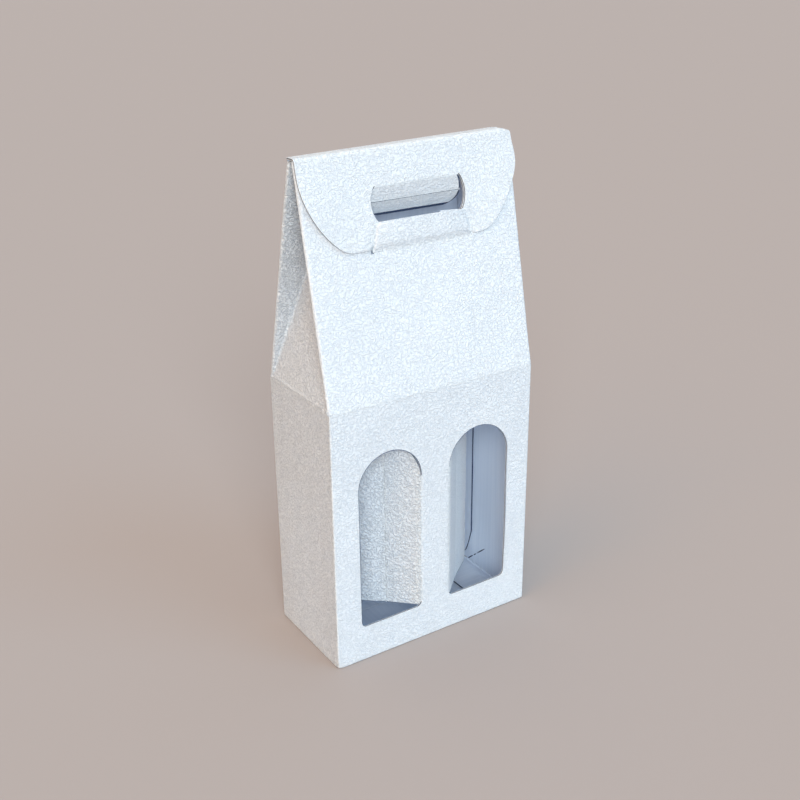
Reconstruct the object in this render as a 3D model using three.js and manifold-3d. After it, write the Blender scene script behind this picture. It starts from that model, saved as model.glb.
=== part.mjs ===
// A gift box for two bottles, cut and creased from one sheet of embossed board.
// Lengths are millimetres. X runs to the right, Y to the back and Z up.
// The origin is the middle of the base. Each panel between two creases is a piece of its own.

import * as THREE from 'three';
import { mergeVertices } from 'three/addons/utils/BufferGeometryUtils.js';
import Module from 'manifold-3d';

const wasm = await Module();
wasm.setup();

// Box
const boxWidth = 180;
const boxDepth = 90;
const boxHeight = 385;
const shoulderHeight = 212;
const ridgeWidth = 10;
const ridgeForward = 5;

// Board, and the clearances that keep its pieces apart
const board = 1.5;
const foldGap = 0.3;
const layGap = 0.3;
const cutGap = 0.4;
const creaseGap = 0.8;

// Arched windows and the flaps cut from them
const windowWidth = 55;
const windowHeight = 142;
const windowSill = 30;
const windowSpacing = 26;
const windowCorner = 4;
const windowFlapInner = 27.5;
const windowFlapTurn = THREE.MathUtils.degToRad(44);
const windowFlapBend = THREE.MathUtils.degToRad(-6);

// Handle hole, measured down from the ridge, with its tab and tongue a little right of the middle
const handleShift = 4;
const holeDrop = 26;
const holeHeight = 24.5;
const holeWidth = 80;
const holeEndRise = 4;

// Handle tab, pushed in through the hole
const tabTopWidth = 71.2;
const tabWidth = 78;
const tabUpperLength = 11.5;
const tabLength = 24;
const tabCorner = 9;
const tabTurn = THREE.MathUtils.degToRad(25);
const tabBend = THREE.MathUtils.degToRad(15);

// Closing flap
const flapLength = 69;
const flapSideLength = 11.5;
const flapSideRadius = 69;
const flapSideTurn = THREE.MathUtils.degToRad(50);
const flapCornerRadius = 20;

// Lock tongue
const tongueTipWidth = 73;
const tongueRootWidth = 85;
const tongueTipCorner = 2.5;

// Gussets
const gussetTopDrop = 4;

// Bottom flaps
const hookReach = 12;
const hookSlope = 16;
const sideFlapReach = 36;
const sideFlapEndInset = 13;
const sideFlapCorner = 6;

// Glue flap of the sheet's seam
const glueFlapWidth = 18;
const glueFlapEnd = 14;
const glueFlapEndInset = 4;

// Steps of a curve, and sizes of the blocks that cut
const curveSteps = 12;
const cutterSize = 2 * boxHeight;
const cutterThickness = 3 * board;

// Places that follow from the sizes above
const halfWidth = boxWidth / 2;
const halfDepth = boxDepth / 2;
const ridgeFront = -ridgeForward - ridgeWidth / 2;
const ridgeBack = -ridgeForward + ridgeWidth / 2;
const gableRise = boxHeight - shoulderHeight;
const gussetLean = Math.atan2(halfDepth, gableRise);
const gussetBlankLength = gableRise + boxDepth;
const holeBottomDrop = holeDrop + holeHeight;
const tongueRootDrop = flapLength + layGap + board + foldGap / 2;
const tongueOuterFace = 2 * board + 2 * layGap;
const sideFlapHeight = board + layGap;

const paper = new THREE.MeshStandardMaterial({ color: 0xf2f3f1, roughness: 0.62, metalness: 0 });
const lining = new THREE.MeshStandardMaterial({ color: 0xe9eaec, roughness: 0.78, metalness: 0 });

const box = new THREE.Group();

const xAxis = new THREE.Vector3(1, 0, 0);
const yAxis = new THREE.Vector3(0, 1, 0);
const zAxis = new THREE.Vector3(0, 0, 1);

// Solids

function toSolid(geometry) {
  const bare = geometry.clone();
  bare.deleteAttribute('normal');
  bare.deleteAttribute('uv');
  const welded = mergeVertices(bare);
  return new wasm.Manifold(new wasm.Mesh({
    numProp: 3,
    vertProperties: new Float32Array(welded.attributes.position.array),
    triVerts: new Uint32Array(welded.index.array),
  }));
}

function toGeometry(solid) {
  const mesh = solid.getMesh();
  const geometry = new THREE.BufferGeometry();
  geometry.setAttribute('position', new THREE.BufferAttribute(mesh.vertProperties, mesh.numProp));
  geometry.setIndex(new THREE.BufferAttribute(mesh.triVerts, 1));
  geometry.computeVertexNormals();
  return geometry;
}

function add(name, solid, material = paper) {
  const mesh = new THREE.Mesh(toGeometry(solid), material);
  mesh.name = name;
  box.add(mesh);
}

// A panel's frame: u runs along its crease, v up the panel and w out of its outer face.
function panelFrame(origin, u, v) {
  const w = new THREE.Vector3().crossVectors(u, v);
  return new THREE.Matrix4().makeBasis(u, v, w).setPosition(origin);
}

// The board inside an outline, with its outer face at the given height above the frame.
function sheet(outline, frame, outerFace = 0, thickness = board) {
  const geometry = new THREE.ExtrudeGeometry(outline, {
    depth: thickness,
    bevelEnabled: false,
    curveSegments: curveSteps,
  });
  geometry.translate(0, 0, outerFace - thickness);
  geometry.applyMatrix4(frame);
  return toSolid(geometry);
}

// Cuts an outline right through a panel whose outer face lies in the frame.
function cutThrough(panel, outline, frame) {
  return panel.subtract(sheet(outline, frame, board, cutterThickness));
}

// All that lies on the side of a plane that its normal points to.
function sideOf(point, normal) {
  const block = new THREE.BoxGeometry(cutterSize, cutterSize, cutterSize);
  block.translate(0, 0, cutterSize / 2);
  block.applyQuaternion(new THREE.Quaternion().setFromUnitVectors(zAxis, normal.clone().normalize()));
  block.translate(point.x, point.y, point.z);
  return toSolid(block);
}

// A panel's edge at a crease, cut along the plane midway between it and its neighbour.
function mitred(solid, crease, normal, neighbourNormal) {
  const along = normal.clone().sub(neighbourNormal).normalize();
  const start = crease.clone().addScaledVector(along, foldGap / 2);
  return solid.subtract(sideOf(start, along.negate()));
}

// A frame moved along its crease and up its panel.
function shifted(frame, along, rise) {
  return frame.clone().multiply(new THREE.Matrix4().makeTranslation(along, rise, 0));
}

// Outlines

function rectangle(left, right, bottom, top) {
  const outline = new THREE.Shape();
  outline.moveTo(left, bottom);
  outline.lineTo(right, bottom);
  outline.lineTo(right, top);
  outline.lineTo(left, top);
  outline.closePath();
  return outline;
}

function polygon(points) {
  return new THREE.Shape(points.map(([x, y]) => new THREE.Vector2(x, y)));
}

// A round-headed window with small lower corners, drawn in by an inset.
function archOutline(left, inset = 0) {
  const right = left + windowWidth - inset;
  const start = left + inset;
  const sill = windowSill + inset;
  const radius = windowWidth / 2 - inset;
  const corner = windowCorner - inset;
  const springing = windowSill + windowHeight - windowWidth / 2;
  const outline = new THREE.Shape();
  outline.moveTo(start + corner, sill);
  outline.lineTo(right - corner, sill);
  outline.absarc(right - corner, sill + corner, corner, -Math.PI / 2, 0, false);
  outline.absarc(right - radius, springing, radius, 0, Math.PI, false);
  outline.absarc(start + corner, sill + corner, corner, Math.PI, 1.5 * Math.PI, false);
  return outline;
}

// The handle hole below a ridge edge: straight long sides, and ends that are shallow arcs.
function holeOutline() {
  const straight = holeWidth / 2 - holeEndRise;
  const half = holeHeight / 2;
  const radius = (half * half + holeEndRise * holeEndRise) / (2 * holeEndRise);
  const swing = Math.asin(half / radius);
  const middle = -holeDrop - half;
  const centre = holeWidth / 2 - radius;
  const outline = new THREE.Shape();
  outline.moveTo(-straight, middle - half);
  outline.lineTo(straight, middle - half);
  outline.absarc(centre, middle, radius, -swing, swing, false);
  outline.lineTo(-straight, middle + half);
  outline.absarc(-centre, middle, radius, Math.PI - swing, Math.PI + swing, false);
  return outline;
}

// The closing flap: straight sides at the ridge, a wide arc, then a tighter corner arc.
function flapOutline() {
  const cos = Math.cos(flapSideTurn);
  const sin = Math.sin(flapSideTurn);
  const wideX = halfWidth - flapSideRadius;
  const wideY = -flapSideLength;
  const joinX = wideX + flapSideRadius * cos;
  const tightX = joinX - flapCornerRadius * cos;
  const tightY = -flapLength + flapCornerRadius;
  const outline = new THREE.Shape();
  outline.moveTo(-halfWidth, 0);
  outline.lineTo(-halfWidth, wideY);
  outline.absarc(-wideX, wideY, flapSideRadius, Math.PI, Math.PI + flapSideTurn, false);
  outline.absarc(-tightX, tightY, flapCornerRadius, Math.PI + flapSideTurn, 1.5 * Math.PI, false);
  outline.absarc(tightX, tightY, flapCornerRadius, 1.5 * Math.PI, 2 * Math.PI - flapSideTurn, false);
  outline.absarc(wideX, wideY, flapSideRadius, -flapSideTurn, 0, false);
  outline.lineTo(halfWidth, 0);
  outline.closePath();
  return outline;
}

// A tongue that narrows from its root to its tip, with rounded tip corners.
function tongueOutline(root, length, sideGap = 0) {
  const rootHalf = tongueRootWidth / 2 + sideGap;
  const tipHalf = tongueTipWidth / 2 + sideGap;
  const corner = tongueTipCorner;
  const outline = new THREE.Shape();
  outline.moveTo(-rootHalf, root);
  outline.lineTo(rootHalf, root);
  outline.lineTo(tipHalf, root + length - corner);
  outline.quadraticCurveTo(tipHalf, root + length, tipHalf - corner, root + length);
  outline.lineTo(-tipHalf + corner, root + length);
  outline.quadraticCurveTo(-tipHalf, root + length, -tipHalf, root + length - corner);
  outline.closePath();
  return outline;
}

// Frames of the walls, all with v straight up
const frontFrame = panelFrame(new THREE.Vector3(0, -halfDepth, 0), xAxis, zAxis);
const backFrame = panelFrame(new THREE.Vector3(0, halfDepth, 0), xAxis.clone().negate(), zAxis);
const leftFrame = panelFrame(new THREE.Vector3(-halfWidth, 0, 0), yAxis.clone().negate(), zAxis);
const rightFrame = panelFrame(new THREE.Vector3(halfWidth, 0, 0), yAxis, zAxis);
const baseFrame = panelFrame(new THREE.Vector3(0, 0, 0), xAxis, yAxis);

function outward(frame) {
  return new THREE.Vector3().setFromMatrixColumn(frame, 2);
}

const frontOut = outward(frontFrame);
const backOut = outward(backFrame);
const leftOut = outward(leftFrame);
const rightOut = outward(rightFrame);
const frontLeftEdge = new THREE.Vector3(-halfWidth, -halfDepth, 0);
const frontRightEdge = new THREE.Vector3(halfWidth, -halfDepth, 0);
const backLeftEdge = new THREE.Vector3(-halfWidth, halfDepth, 0);
const backRightEdge = new THREE.Vector3(halfWidth, halfDepth, 0);

// Lean of the gables. The front one passes one board and one gap under the ridge's front edge.
const frontRun = halfDepth + ridgeFront;
const backRun = halfDepth - ridgeBack;
const flapStandoff = board + layGap;
const frontReach = Math.hypot(frontRun, gableRise);
const frontLean = Math.atan2(frontRun, gableRise) + Math.asin(flapStandoff / frontReach);
const backLean = Math.atan2(backRun, gableRise);
const frontGableLength = Math.sqrt(frontReach * frontReach - flapStandoff * flapStandoff);
const backGableLength = Math.hypot(backRun, gableRise);

const frontUp = new THREE.Vector3(0, Math.sin(frontLean), Math.cos(frontLean));
const backUp = new THREE.Vector3(0, -Math.sin(backLean), Math.cos(backLean));
const frontShoulder = new THREE.Vector3(0, -halfDepth, shoulderHeight);
const backShoulder = new THREE.Vector3(0, halfDepth, shoulderHeight);
const frontGableFrame = panelFrame(frontShoulder, xAxis, frontUp);
const backGableFrame = panelFrame(backShoulder, xAxis.clone().negate(), backUp);
const ridgeFrontEdge = new THREE.Vector3(0, ridgeFront, boxHeight);
const ridgeBackEdge = new THREE.Vector3(0, ridgeBack, boxHeight);
const flapFrame = panelFrame(ridgeFrontEdge, xAxis, frontUp);
const frontGableOut = outward(frontGableFrame);
const backGableOut = outward(backGableFrame);
const frontHoleFrame = shifted(frontGableFrame, handleShift, frontGableLength);
const backHoleFrame = shifted(backGableFrame, -handleShift, backGableLength);

// Windows lie either side of the middle strip.
const leftWindowStart = -windowSpacing / 2 - windowWidth;
const rightWindowStart = windowSpacing / 2;

function buildFrontPanel() {
  let panel = sheet(rectangle(-halfWidth, halfWidth, 0, shoulderHeight), frontFrame);
  for (const start of [leftWindowStart, rightWindowStart]) {
    panel = cutThrough(panel, archOutline(start), frontFrame);
  }
  panel = mitred(panel, frontLeftEdge, frontOut, leftOut);
  panel = mitred(panel, frontRightEdge, frontOut, rightOut);
  add('front_panel', mitred(panel, frontShoulder, frontOut, frontGableOut));
}

function buildBackPanel() {
  let panel = sheet(rectangle(-halfWidth, halfWidth, 0, shoulderHeight), backFrame);
  panel = mitred(panel, backLeftEdge, backOut, leftOut);
  panel = mitred(panel, backRightEdge, backOut, rightOut);
  add('back_panel', mitred(panel, backShoulder, backOut, backGableOut));
}

function sideShoulder(side) {
  return new THREE.Vector3(side * halfWidth, 0, shoulderHeight);
}

// Gusset frames lean in from the shoulder creases of the two side panels.
function gussetFrame(side) {
  const up = new THREE.Vector3(-side * Math.sin(gussetLean), 0, Math.cos(gussetLean));
  return panelFrame(sideShoulder(side), yAxis.clone().multiplyScalar(side), up);
}

function buildSidePanel(name, side, frame, frontEdge, backEdge) {
  const out = outward(frame);
  let panel = sheet(rectangle(-halfDepth, halfDepth, 0, shoulderHeight), frame);
  panel = mitred(panel, frontEdge, out, frontOut);
  panel = mitred(panel, backEdge, out, backOut);
  add(name, mitred(panel, sideShoulder(side), out, outward(gussetFrame(side))));
}

// The front gable keeps the opening that the lock tongue was cut from, below the handle hole.
function buildFrontGable() {
  let gable = sheet(rectangle(-halfWidth, halfWidth, 0, frontGableLength), frontGableFrame);
  gable = cutThrough(gable, holeOutline(), frontHoleFrame);
  const length = tongueRootDrop - holeBottomDrop + tongueTipCorner;
  gable = cutThrough(gable, tongueOutline(-tongueRootDrop, length, cutGap), frontHoleFrame);
  gable = mitred(gable, frontShoulder, frontGableOut, frontOut);
  const underRidge = new THREE.Vector3(0, 0, boxHeight - board - layGap);
  add('front_gable', gable.subtract(sideOf(underRidge, zAxis)));
}

function buildBackGable() {
  let gable = sheet(rectangle(-halfWidth, halfWidth, 0, backGableLength), backGableFrame);
  gable = cutThrough(gable, holeOutline(), backHoleFrame);
  gable = mitred(gable, backShoulder, backGableOut, backOut);
  add('back_gable', mitred(gable, ridgeBackEdge, backGableOut, zAxis));
}

function buildRidge() {
  const strip = sheet(rectangle(-halfWidth, halfWidth, ridgeFront, ridgeBack), baseFrame, boxHeight);
  const toFlap = mitred(strip, ridgeFrontEdge, zAxis, outward(flapFrame));
  add('ridge_strip', mitred(toFlap, ridgeBackEdge, zAxis, backGableOut));
}

function buildClosingFlap() {
  const holeFrame = shifted(flapFrame, handleShift, 0);
  const flap = cutThrough(sheet(flapOutline(), flapFrame), holeOutline(), holeFrame);
  add('closing_flap', mitred(flap, ridgeFrontEdge, outward(flapFrame), zAxis));
}

// The handle tab hangs from the hole's upper edge. It turns in about the flap's inner face.
function buildHandleTab() {
  const topHalf = tabTopWidth / 2;
  const half = tabWidth / 2;
  const crease = -tabUpperLength;
  const cornerX = half - tabCorner;
  const cornerY = tabCorner - tabLength;
  const upperBottom = crease + creaseGap / 2;
  const upperRight = [[half, upperBottom], [topHalf, -foldGap]];
  const upper = polygon([[-topHalf, -foldGap], [-half, upperBottom], ...upperRight]);
  const lower = new THREE.Shape();
  lower.moveTo(-half, crease - creaseGap / 2);
  lower.lineTo(-half, cornerY);
  lower.absarc(-cornerX, cornerY, tabCorner, Math.PI, 1.5 * Math.PI, false);
  lower.absarc(cornerX, cornerY, tabCorner, 1.5 * Math.PI, 2 * Math.PI, false);
  lower.lineTo(half, crease - creaseGap / 2);
  lower.closePath();
  const hinge = new THREE.Matrix4().makeTranslation(handleShift, -holeDrop, -board);
  const turn = new THREE.Matrix4().makeRotationX(tabTurn);
  const upperFrame = flapFrame.clone().multiply(hinge).multiply(turn);
  const toCrease = new THREE.Matrix4().makeTranslation(0, crease, board / 2);
  const fromCrease = new THREE.Matrix4().makeTranslation(0, -crease, -board / 2);
  const bend = new THREE.Matrix4().makeRotationX(tabBend);
  const lowerFrame = upperFrame.clone().multiply(toCrease).multiply(bend).multiply(fromCrease);
  add('handle_tab_upper', sheet(upper, upperFrame, board));
  add('handle_tab_lower', sheet(lower, lowerFrame, board));
}

// The tongue steps out over the closing flap's lower edge and lies on its outside.
function buildLockTongue() {
  const root = frontGableLength - tongueRootDrop + foldGap / 2;
  const length = tongueRootDrop - foldGap / 2 - holeBottomDrop;
  const frame = shifted(frontGableFrame, handleShift, 0);
  const tongue = sheet(tongueOutline(root, length), frame, tongueOuterFace);
  const half = tongueRootWidth / 2 - board / 2;
  const foot = rectangle(-half, half, root, root + board);
  const footTop = tongueOuterFace - board / 2;
  const footDepth = footTop + board / 2;
  add('lock_tongue', tongue.add(sheet(foot, frame, footTop, footDepth)));
}

// A gusset folds in between the gables: a main panel and two webs behind the gables.
function behindGable(frame, depthIn) {
  const normal = outward(frame);
  const point = new THREE.Vector3().setFromMatrixPosition(frame).addScaledVector(normal, -depthIn);
  return sideOf(point, normal);
}

function buildGusset(name, side) {
  const frame = gussetFrame(side);
  const normal = outward(frame);
  const crease = sideShoulder(side);
  const topCut = sideOf(new THREE.Vector3(0, 0, boxHeight - board - gussetTopDrop), zAxis);
  const webInnerDepth = 2 * board + 2 * layGap;
  let main = sheet(rectangle(-halfDepth, halfDepth, 0, gussetBlankLength), frame);
  main = main.subtract(behindGable(frontGableFrame, webInnerDepth));
  main = main.subtract(behindGable(backGableFrame, webInnerDepth));
  main = mitred(main, crease, normal, xAxis.clone().multiplyScalar(side));
  add(name, main.subtract(topCut));
  const clearOfMain = sideOf(crease.clone().addScaledVector(normal, foldGap), normal.clone().negate());
  const aboveShoulder = new THREE.Vector3(0, 0, shoulderHeight + foldGap);
  const belowShoulder = sideOf(aboveShoulder, zAxis.clone().negate());
  const webs = { front: frontGableFrame, back: backGableFrame };
  for (const [place, gableFrame] of Object.entries(webs)) {
    const across = place === 'front' ? side : -side;
    const low = Math.min(0, across * halfWidth);
    const high = Math.max(0, across * halfWidth);
    const web = sheet(rectangle(low, high, 0, gussetBlankLength), gableFrame, -board - layGap);
    add(`${name}_${place}_web`, web.subtract(clearOfMain).subtract(belowShoulder).subtract(topCut));
  }
}

// A window flap is built flush in its window, split at its crease, and turned in about its hinge.
function buildWindowFlap(name, side) {
  const start = side < 0 ? leftWindowStart : rightWindowStart;
  const hingeX = side * windowSpacing / 2;
  const creaseX = hingeX + side * windowFlapInner;
  const whole = sheet(archOutline(start, cutGap), frontFrame);
  const outwardX = xAxis.clone().multiplyScalar(side);
  const inwardX = outwardX.clone().negate();
  const beyondCrease = (gap) => new THREE.Vector3(creaseX + side * gap, 0, 0);
  const inner = whole.subtract(sideOf(beyondCrease(-creaseGap / 2), outwardX));
  const outer = whole.subtract(sideOf(beyondCrease(creaseGap / 2), inwardX));
  const hinge = new THREE.Vector3(hingeX, -halfDepth + board, 0);
  const crease = new THREE.Vector3(creaseX, -halfDepth + board / 2, 0);
  const turn = turnAbout(hinge, side * windowFlapTurn);
  const bend = turnAbout(crease, side * windowFlapBend);
  add(`${name}_inner`, moved(inner, turn));
  add(`${name}_outer`, moved(outer, turn.clone().multiply(bend)));
}

function turnAbout(point, angle) {
  const there = new THREE.Matrix4().makeTranslation(point.x, point.y, point.z);
  const back = there.clone().invert();
  return there.multiply(new THREE.Matrix4().makeRotationZ(angle)).multiply(back);
}

function moved(solid, matrix) {
  const geometry = toGeometry(solid);
  geometry.applyMatrix4(matrix);
  return toSolid(geometry);
}

// The long bottom flaps hook into each other along a stepped line across the middle.
function buildLongBottomFlap(name, side) {
  const x = halfWidth - board - foldGap;
  const y = halfDepth - board - foldGap;
  const near = hookReach - foldGap / 2;
  const far = hookReach + foldGap / 2;
  const slope = hookSlope / 2;
  const points = [[-x, -y], [x, -y], [x, -far], [slope, -far], [-slope, near], [-x, near]];
  const outline = polygon(points.map(([px, py]) => [-side * px, -side * py]));
  add(name, sheet(outline, baseFrame, board), lining);
}

// A side bottom flap lies over the two long flaps.
function buildSideBottomFlap(name, side) {
  const wall = halfWidth - board - foldGap;
  const reach = halfWidth - sideFlapReach;
  const half = halfDepth - sideFlapEndInset;
  const corner = sideFlapCorner;
  const points = [
    [wall, -half],
    [wall, half],
    [reach + corner, half],
    [reach, half - corner],
    [reach, corner - half],
    [reach + corner, -half],
  ];
  const outline = polygon(points.map(([px, py]) => [side * px, side * py]));
  add(name, sheet(outline, baseFrame, sideFlapHeight + board), lining);
}

// The seam's glue flap runs down inside the back right edge, with slanted ends.
function buildGlueFlap() {
  const near = halfDepth - board - foldGap;
  const far = near - glueFlapWidth;
  const low = sideFlapHeight + board + glueFlapEndInset;
  const top = shoulderHeight - glueFlapEndInset;
  const outline = polygon([[near, low], [near, top], [far, top - glueFlapEnd], [far, low + glueFlapEnd]]);
  add('glue_flap', sheet(outline, rightFrame, -board - layGap), lining);
}

buildFrontPanel();
buildBackPanel();
buildSidePanel('left_side_panel', -1, leftFrame, frontLeftEdge, backLeftEdge);
buildSidePanel('right_side_panel', 1, rightFrame, frontRightEdge, backRightEdge);
buildFrontGable();
buildBackGable();
buildRidge();
buildClosingFlap();
buildHandleTab();
buildLockTongue();
buildGusset('left_gusset', -1);
buildGusset('right_gusset', 1);
buildWindowFlap('left_window_flap', -1);
buildWindowFlap('right_window_flap', 1);
buildLongBottomFlap('front_bottom_flap', -1);
buildLongBottomFlap('back_bottom_flap', 1);
buildSideBottomFlap('left_bottom_flap', -1);
buildSideBottomFlap('right_bottom_flap', 1);
buildGlueFlap();

export default box;
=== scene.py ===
# %% [markdown]
# # A gift box for two bottles
#
# The object is one sheet of white micro-flute board, embossed with a leather grain, that was cut, creased
# and folded into a carrier.
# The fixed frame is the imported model: one flat solid for each panel. Here each solid gets a board that
# bends where paper bends.
# The panels stay separate pieces, because each one rides on the body that turns it.

# %% Load the fixed frame
import math

import bmesh
import bpy
import numpy as np
from mathutils import Matrix, Vector


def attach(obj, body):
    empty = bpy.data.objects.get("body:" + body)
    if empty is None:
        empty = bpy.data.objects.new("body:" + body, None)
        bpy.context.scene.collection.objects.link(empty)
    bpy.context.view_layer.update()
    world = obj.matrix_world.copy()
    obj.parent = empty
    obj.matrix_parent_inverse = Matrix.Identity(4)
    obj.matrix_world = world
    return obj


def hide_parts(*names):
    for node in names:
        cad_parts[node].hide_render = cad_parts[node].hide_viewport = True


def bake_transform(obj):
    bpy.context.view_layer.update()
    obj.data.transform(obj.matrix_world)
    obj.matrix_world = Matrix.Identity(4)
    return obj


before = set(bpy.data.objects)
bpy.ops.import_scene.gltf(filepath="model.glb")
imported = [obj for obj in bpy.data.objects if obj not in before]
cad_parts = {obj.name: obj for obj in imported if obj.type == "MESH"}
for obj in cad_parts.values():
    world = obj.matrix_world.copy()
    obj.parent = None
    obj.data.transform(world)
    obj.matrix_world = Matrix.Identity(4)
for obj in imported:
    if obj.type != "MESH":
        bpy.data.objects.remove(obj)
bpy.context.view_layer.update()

# %% [markdown]
# ## Sizes
#
# All lengths are millimetres and are turned into metres only when a mesh is made.
# They are the die's own sizes, so a panel here ends exactly where its solid ends.

# %% Sizes of the box
MM = 0.001
BOARD = 1.5  # thickness of the sheet
WIDTH, DEPTH, HEIGHT = 180.0, 90.0, 385.0
SHOULDER = 212.0
RIDGE_FRONT, RIDGE_BACK = -10.0, 0.0
LAY = 0.3  # gap between two boards that lie on each other
HALF, DEEP = WIDTH / 2, DEPTH / 2
RISE = HEIGHT - SHOULDER
CREASE_RADIUS = 1.2  # outside of a scored crease
CELL = 4.5  # grid cells of a large panel
print("board", BOARD, "mm, box", WIDTH, "x", DEPTH, "x", HEIGHT, "mm")

# %% [markdown]
# ## Where a panel lies
#
# A panel is drawn flat, as on the die, and then placed. Its frame holds three directions: u along the
# crease, v up the panel and w out of its face.
# A 4 x 4 matrix keeps them together, so a fold is one more matrix.

# %% Frames
def panel_frame(origin, u, v):
    """Columns are u, v and w = u x v, and the last column is the origin."""
    matrix = np.eye(4)
    matrix[:3, 0], matrix[:3, 1], matrix[:3, 2] = u, v, np.cross(u, v)
    matrix[:3, 3] = origin
    return matrix


def folded(matrix, v, w, angle):
    """The frame turned by angle about the line along u at height v and depth w: move there, turn, move
    back."""
    there, turn = np.eye(4), np.eye(4)
    there[:3, 3] = (0, v, w)
    cos, sin = math.cos(angle), math.sin(angle)
    turn[1:3, 1:3] = ((cos, -sin), (sin, cos))
    return matrix @ there @ turn @ np.linalg.inv(there)


def along(matrix, shift):
    """The frame moved along its crease."""
    move = np.eye(4)
    move[0, 3] = shift
    return matrix @ move


def place(matrix, flat, w):
    """Point = origin + u times the first direction + v times the second + w times the third."""
    in_plane = flat[..., :1] * matrix[:3, 0] + flat[..., 1:2] * matrix[:3, 1]
    return matrix[:3, 3] + in_plane + np.asarray(w)[..., None] * matrix[:3, 2]


front_reach = math.hypot(DEEP + RIDGE_FRONT, RISE)
standoff = BOARD + LAY
FRONT_LEAN = math.atan2(DEEP + RIDGE_FRONT, RISE) + math.asin(standoff / front_reach)
BACK_LEAN = math.atan2(DEEP - RIDGE_BACK, RISE)
GUSSET_LEAN = math.atan2(DEEP, RISE)
FRONT_GABLE = math.sqrt(front_reach**2 - standoff**2)
BACK_GABLE = math.hypot(DEEP - RIDGE_BACK, RISE)
front_up = (0, math.sin(FRONT_LEAN), math.cos(FRONT_LEAN))
back_up = (0, -math.sin(BACK_LEAN), math.cos(BACK_LEAN))
front_frame = panel_frame((0, -DEEP, 0), (1, 0, 0), (0, 0, 1))
back_frame = panel_frame((0, DEEP, 0), (-1, 0, 0), (0, 0, 1))
left_frame = panel_frame((-HALF, 0, 0), (0, -1, 0), (0, 0, 1))
right_frame = panel_frame((HALF, 0, 0), (0, 1, 0), (0, 0, 1))
front_gable_frame = panel_frame((0, -DEEP, SHOULDER), (1, 0, 0), front_up)
back_gable_frame = panel_frame((0, DEEP, SHOULDER), (-1, 0, 0), back_up)
flap_frame = panel_frame((0, RIDGE_FRONT, HEIGHT), (1, 0, 0), front_up)
ridge_frame = panel_frame((0, RIDGE_BACK, HEIGHT), (1, 0, 0), (0, 1, 0))
base_frame = panel_frame((0, 0, 0), (1, 0, 0), (0, -1, 0))
print("gables lean", round(math.degrees(FRONT_LEAN), 2), "and", round(math.degrees(BACK_LEAN), 2), "degrees")

# %% [markdown]
# ## Adding nodes
#
# Materials are node trees. One small function adds a node, sets its settings and fills its inputs, with a
# link where the input is another node's output.

# %% One function for any node
def add_node(tree, kind, inputs=None, **settings):
    """A node of that kind: settings are its own properties, inputs are sockets to link or values to set."""
    node = tree.nodes.new(kind)
    for name, value in settings.items():
        setattr(node, name, value)
    for name, value in (inputs or {}).items():
        if isinstance(value, bpy.types.NodeSocket):
            tree.links.new(value, node.inputs[name])
        else:
            node.inputs[name].default_value = value
    return node


def linear(hex_colour):
    """sRGB to linear light: c / 12.92 where c is small, else ((c + 0.055) / 1.055) to the power 2.4."""
    channels = np.array([int(hex_colour[i : i + 2], 16) for i in (1, 3, 5)]) / 255
    low = channels / 12.92
    high = ((channels + 0.055) / 1.055) ** 2.4
    return (*np.where(channels <= 0.04045, low, high).tolist(), 1.0)


def new_material(name):
    """An empty material with its output node, and its tree."""
    material = bpy.data.materials.new(name)
    material.use_nodes = True
    tree = material.node_tree
    tree.nodes.clear()
    return material, tree


# %% [markdown]
# ## Embossed board
#
# The outer face is white coated paper that a steel roller has pressed with a leather grain: wavy wrinkles
# with fine pores between them.
# To the eye it is a soft white that breaks up the light into small bright and dim patches, most of all
# where the light rakes along it.
# A picture of the grain would repeat. Smooth noise never does, and the lines where it crosses its middle
# value wander just like the furrows between wrinkles.
# A noise's scale is how many of its steps go into a metre. The photograph shows wrinkles about 2 mm long, so
# their noise has 680 steps of 1.5 mm, drawn out to 2.2 mm across.
# The real pores are finer than the render can show, so they are drawn two thirds of a millimetre apart.
# Clouds of 56 mm tint the paper a little.
# On the sides, gussets and left window flap the photograph's light rakes the grain, and it stands out more.
# The same paper is drawn deeper there, and its furrows get a darker painted shade.
# On all the embossed faces the furrows are painted a little darker, as the shade that falls into them.
# Object coordinates carry the grain over every crease, because all pieces sit at the origin.

# %% Embossed board
PAPER_IOR = 1.45
WRINKLES, PORES, CLOUDS = 680.0, 1500.0, 18.0
WRINKLE_TURN, WRINKLE_STRETCH = (0.54, 0.0, 0.12), (1.5, 1.5, 1.0)
WRINKLE_SHARE, FURROW_SHARE, FURROW_REACH = 2.6, 0.5, 0.05


def add_paper(tree, colour, roughness, relief, through):
    """Paper is mostly a diffuse reflector. The share called through crosses the sheet and leaves it
    scattered, as a lamp behind paper shows."""
    face = add_node(
        tree, "ShaderNodeBsdfPrincipled",
        {"Base Color": colour, "Roughness": roughness, "IOR": PAPER_IOR, "Normal": relief},
    )
    crossing = add_node(tree, "ShaderNodeBsdfTranslucent", {"Color": linear("#DCE8FA")})
    sheet = add_node(tree, "ShaderNodeMixShader", {0: through, 1: face.outputs[0], 2: crossing.outputs[0]})
    add_node(tree, "ShaderNodeOutputMaterial", {"Surface": sheet.outputs[0]})


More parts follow.
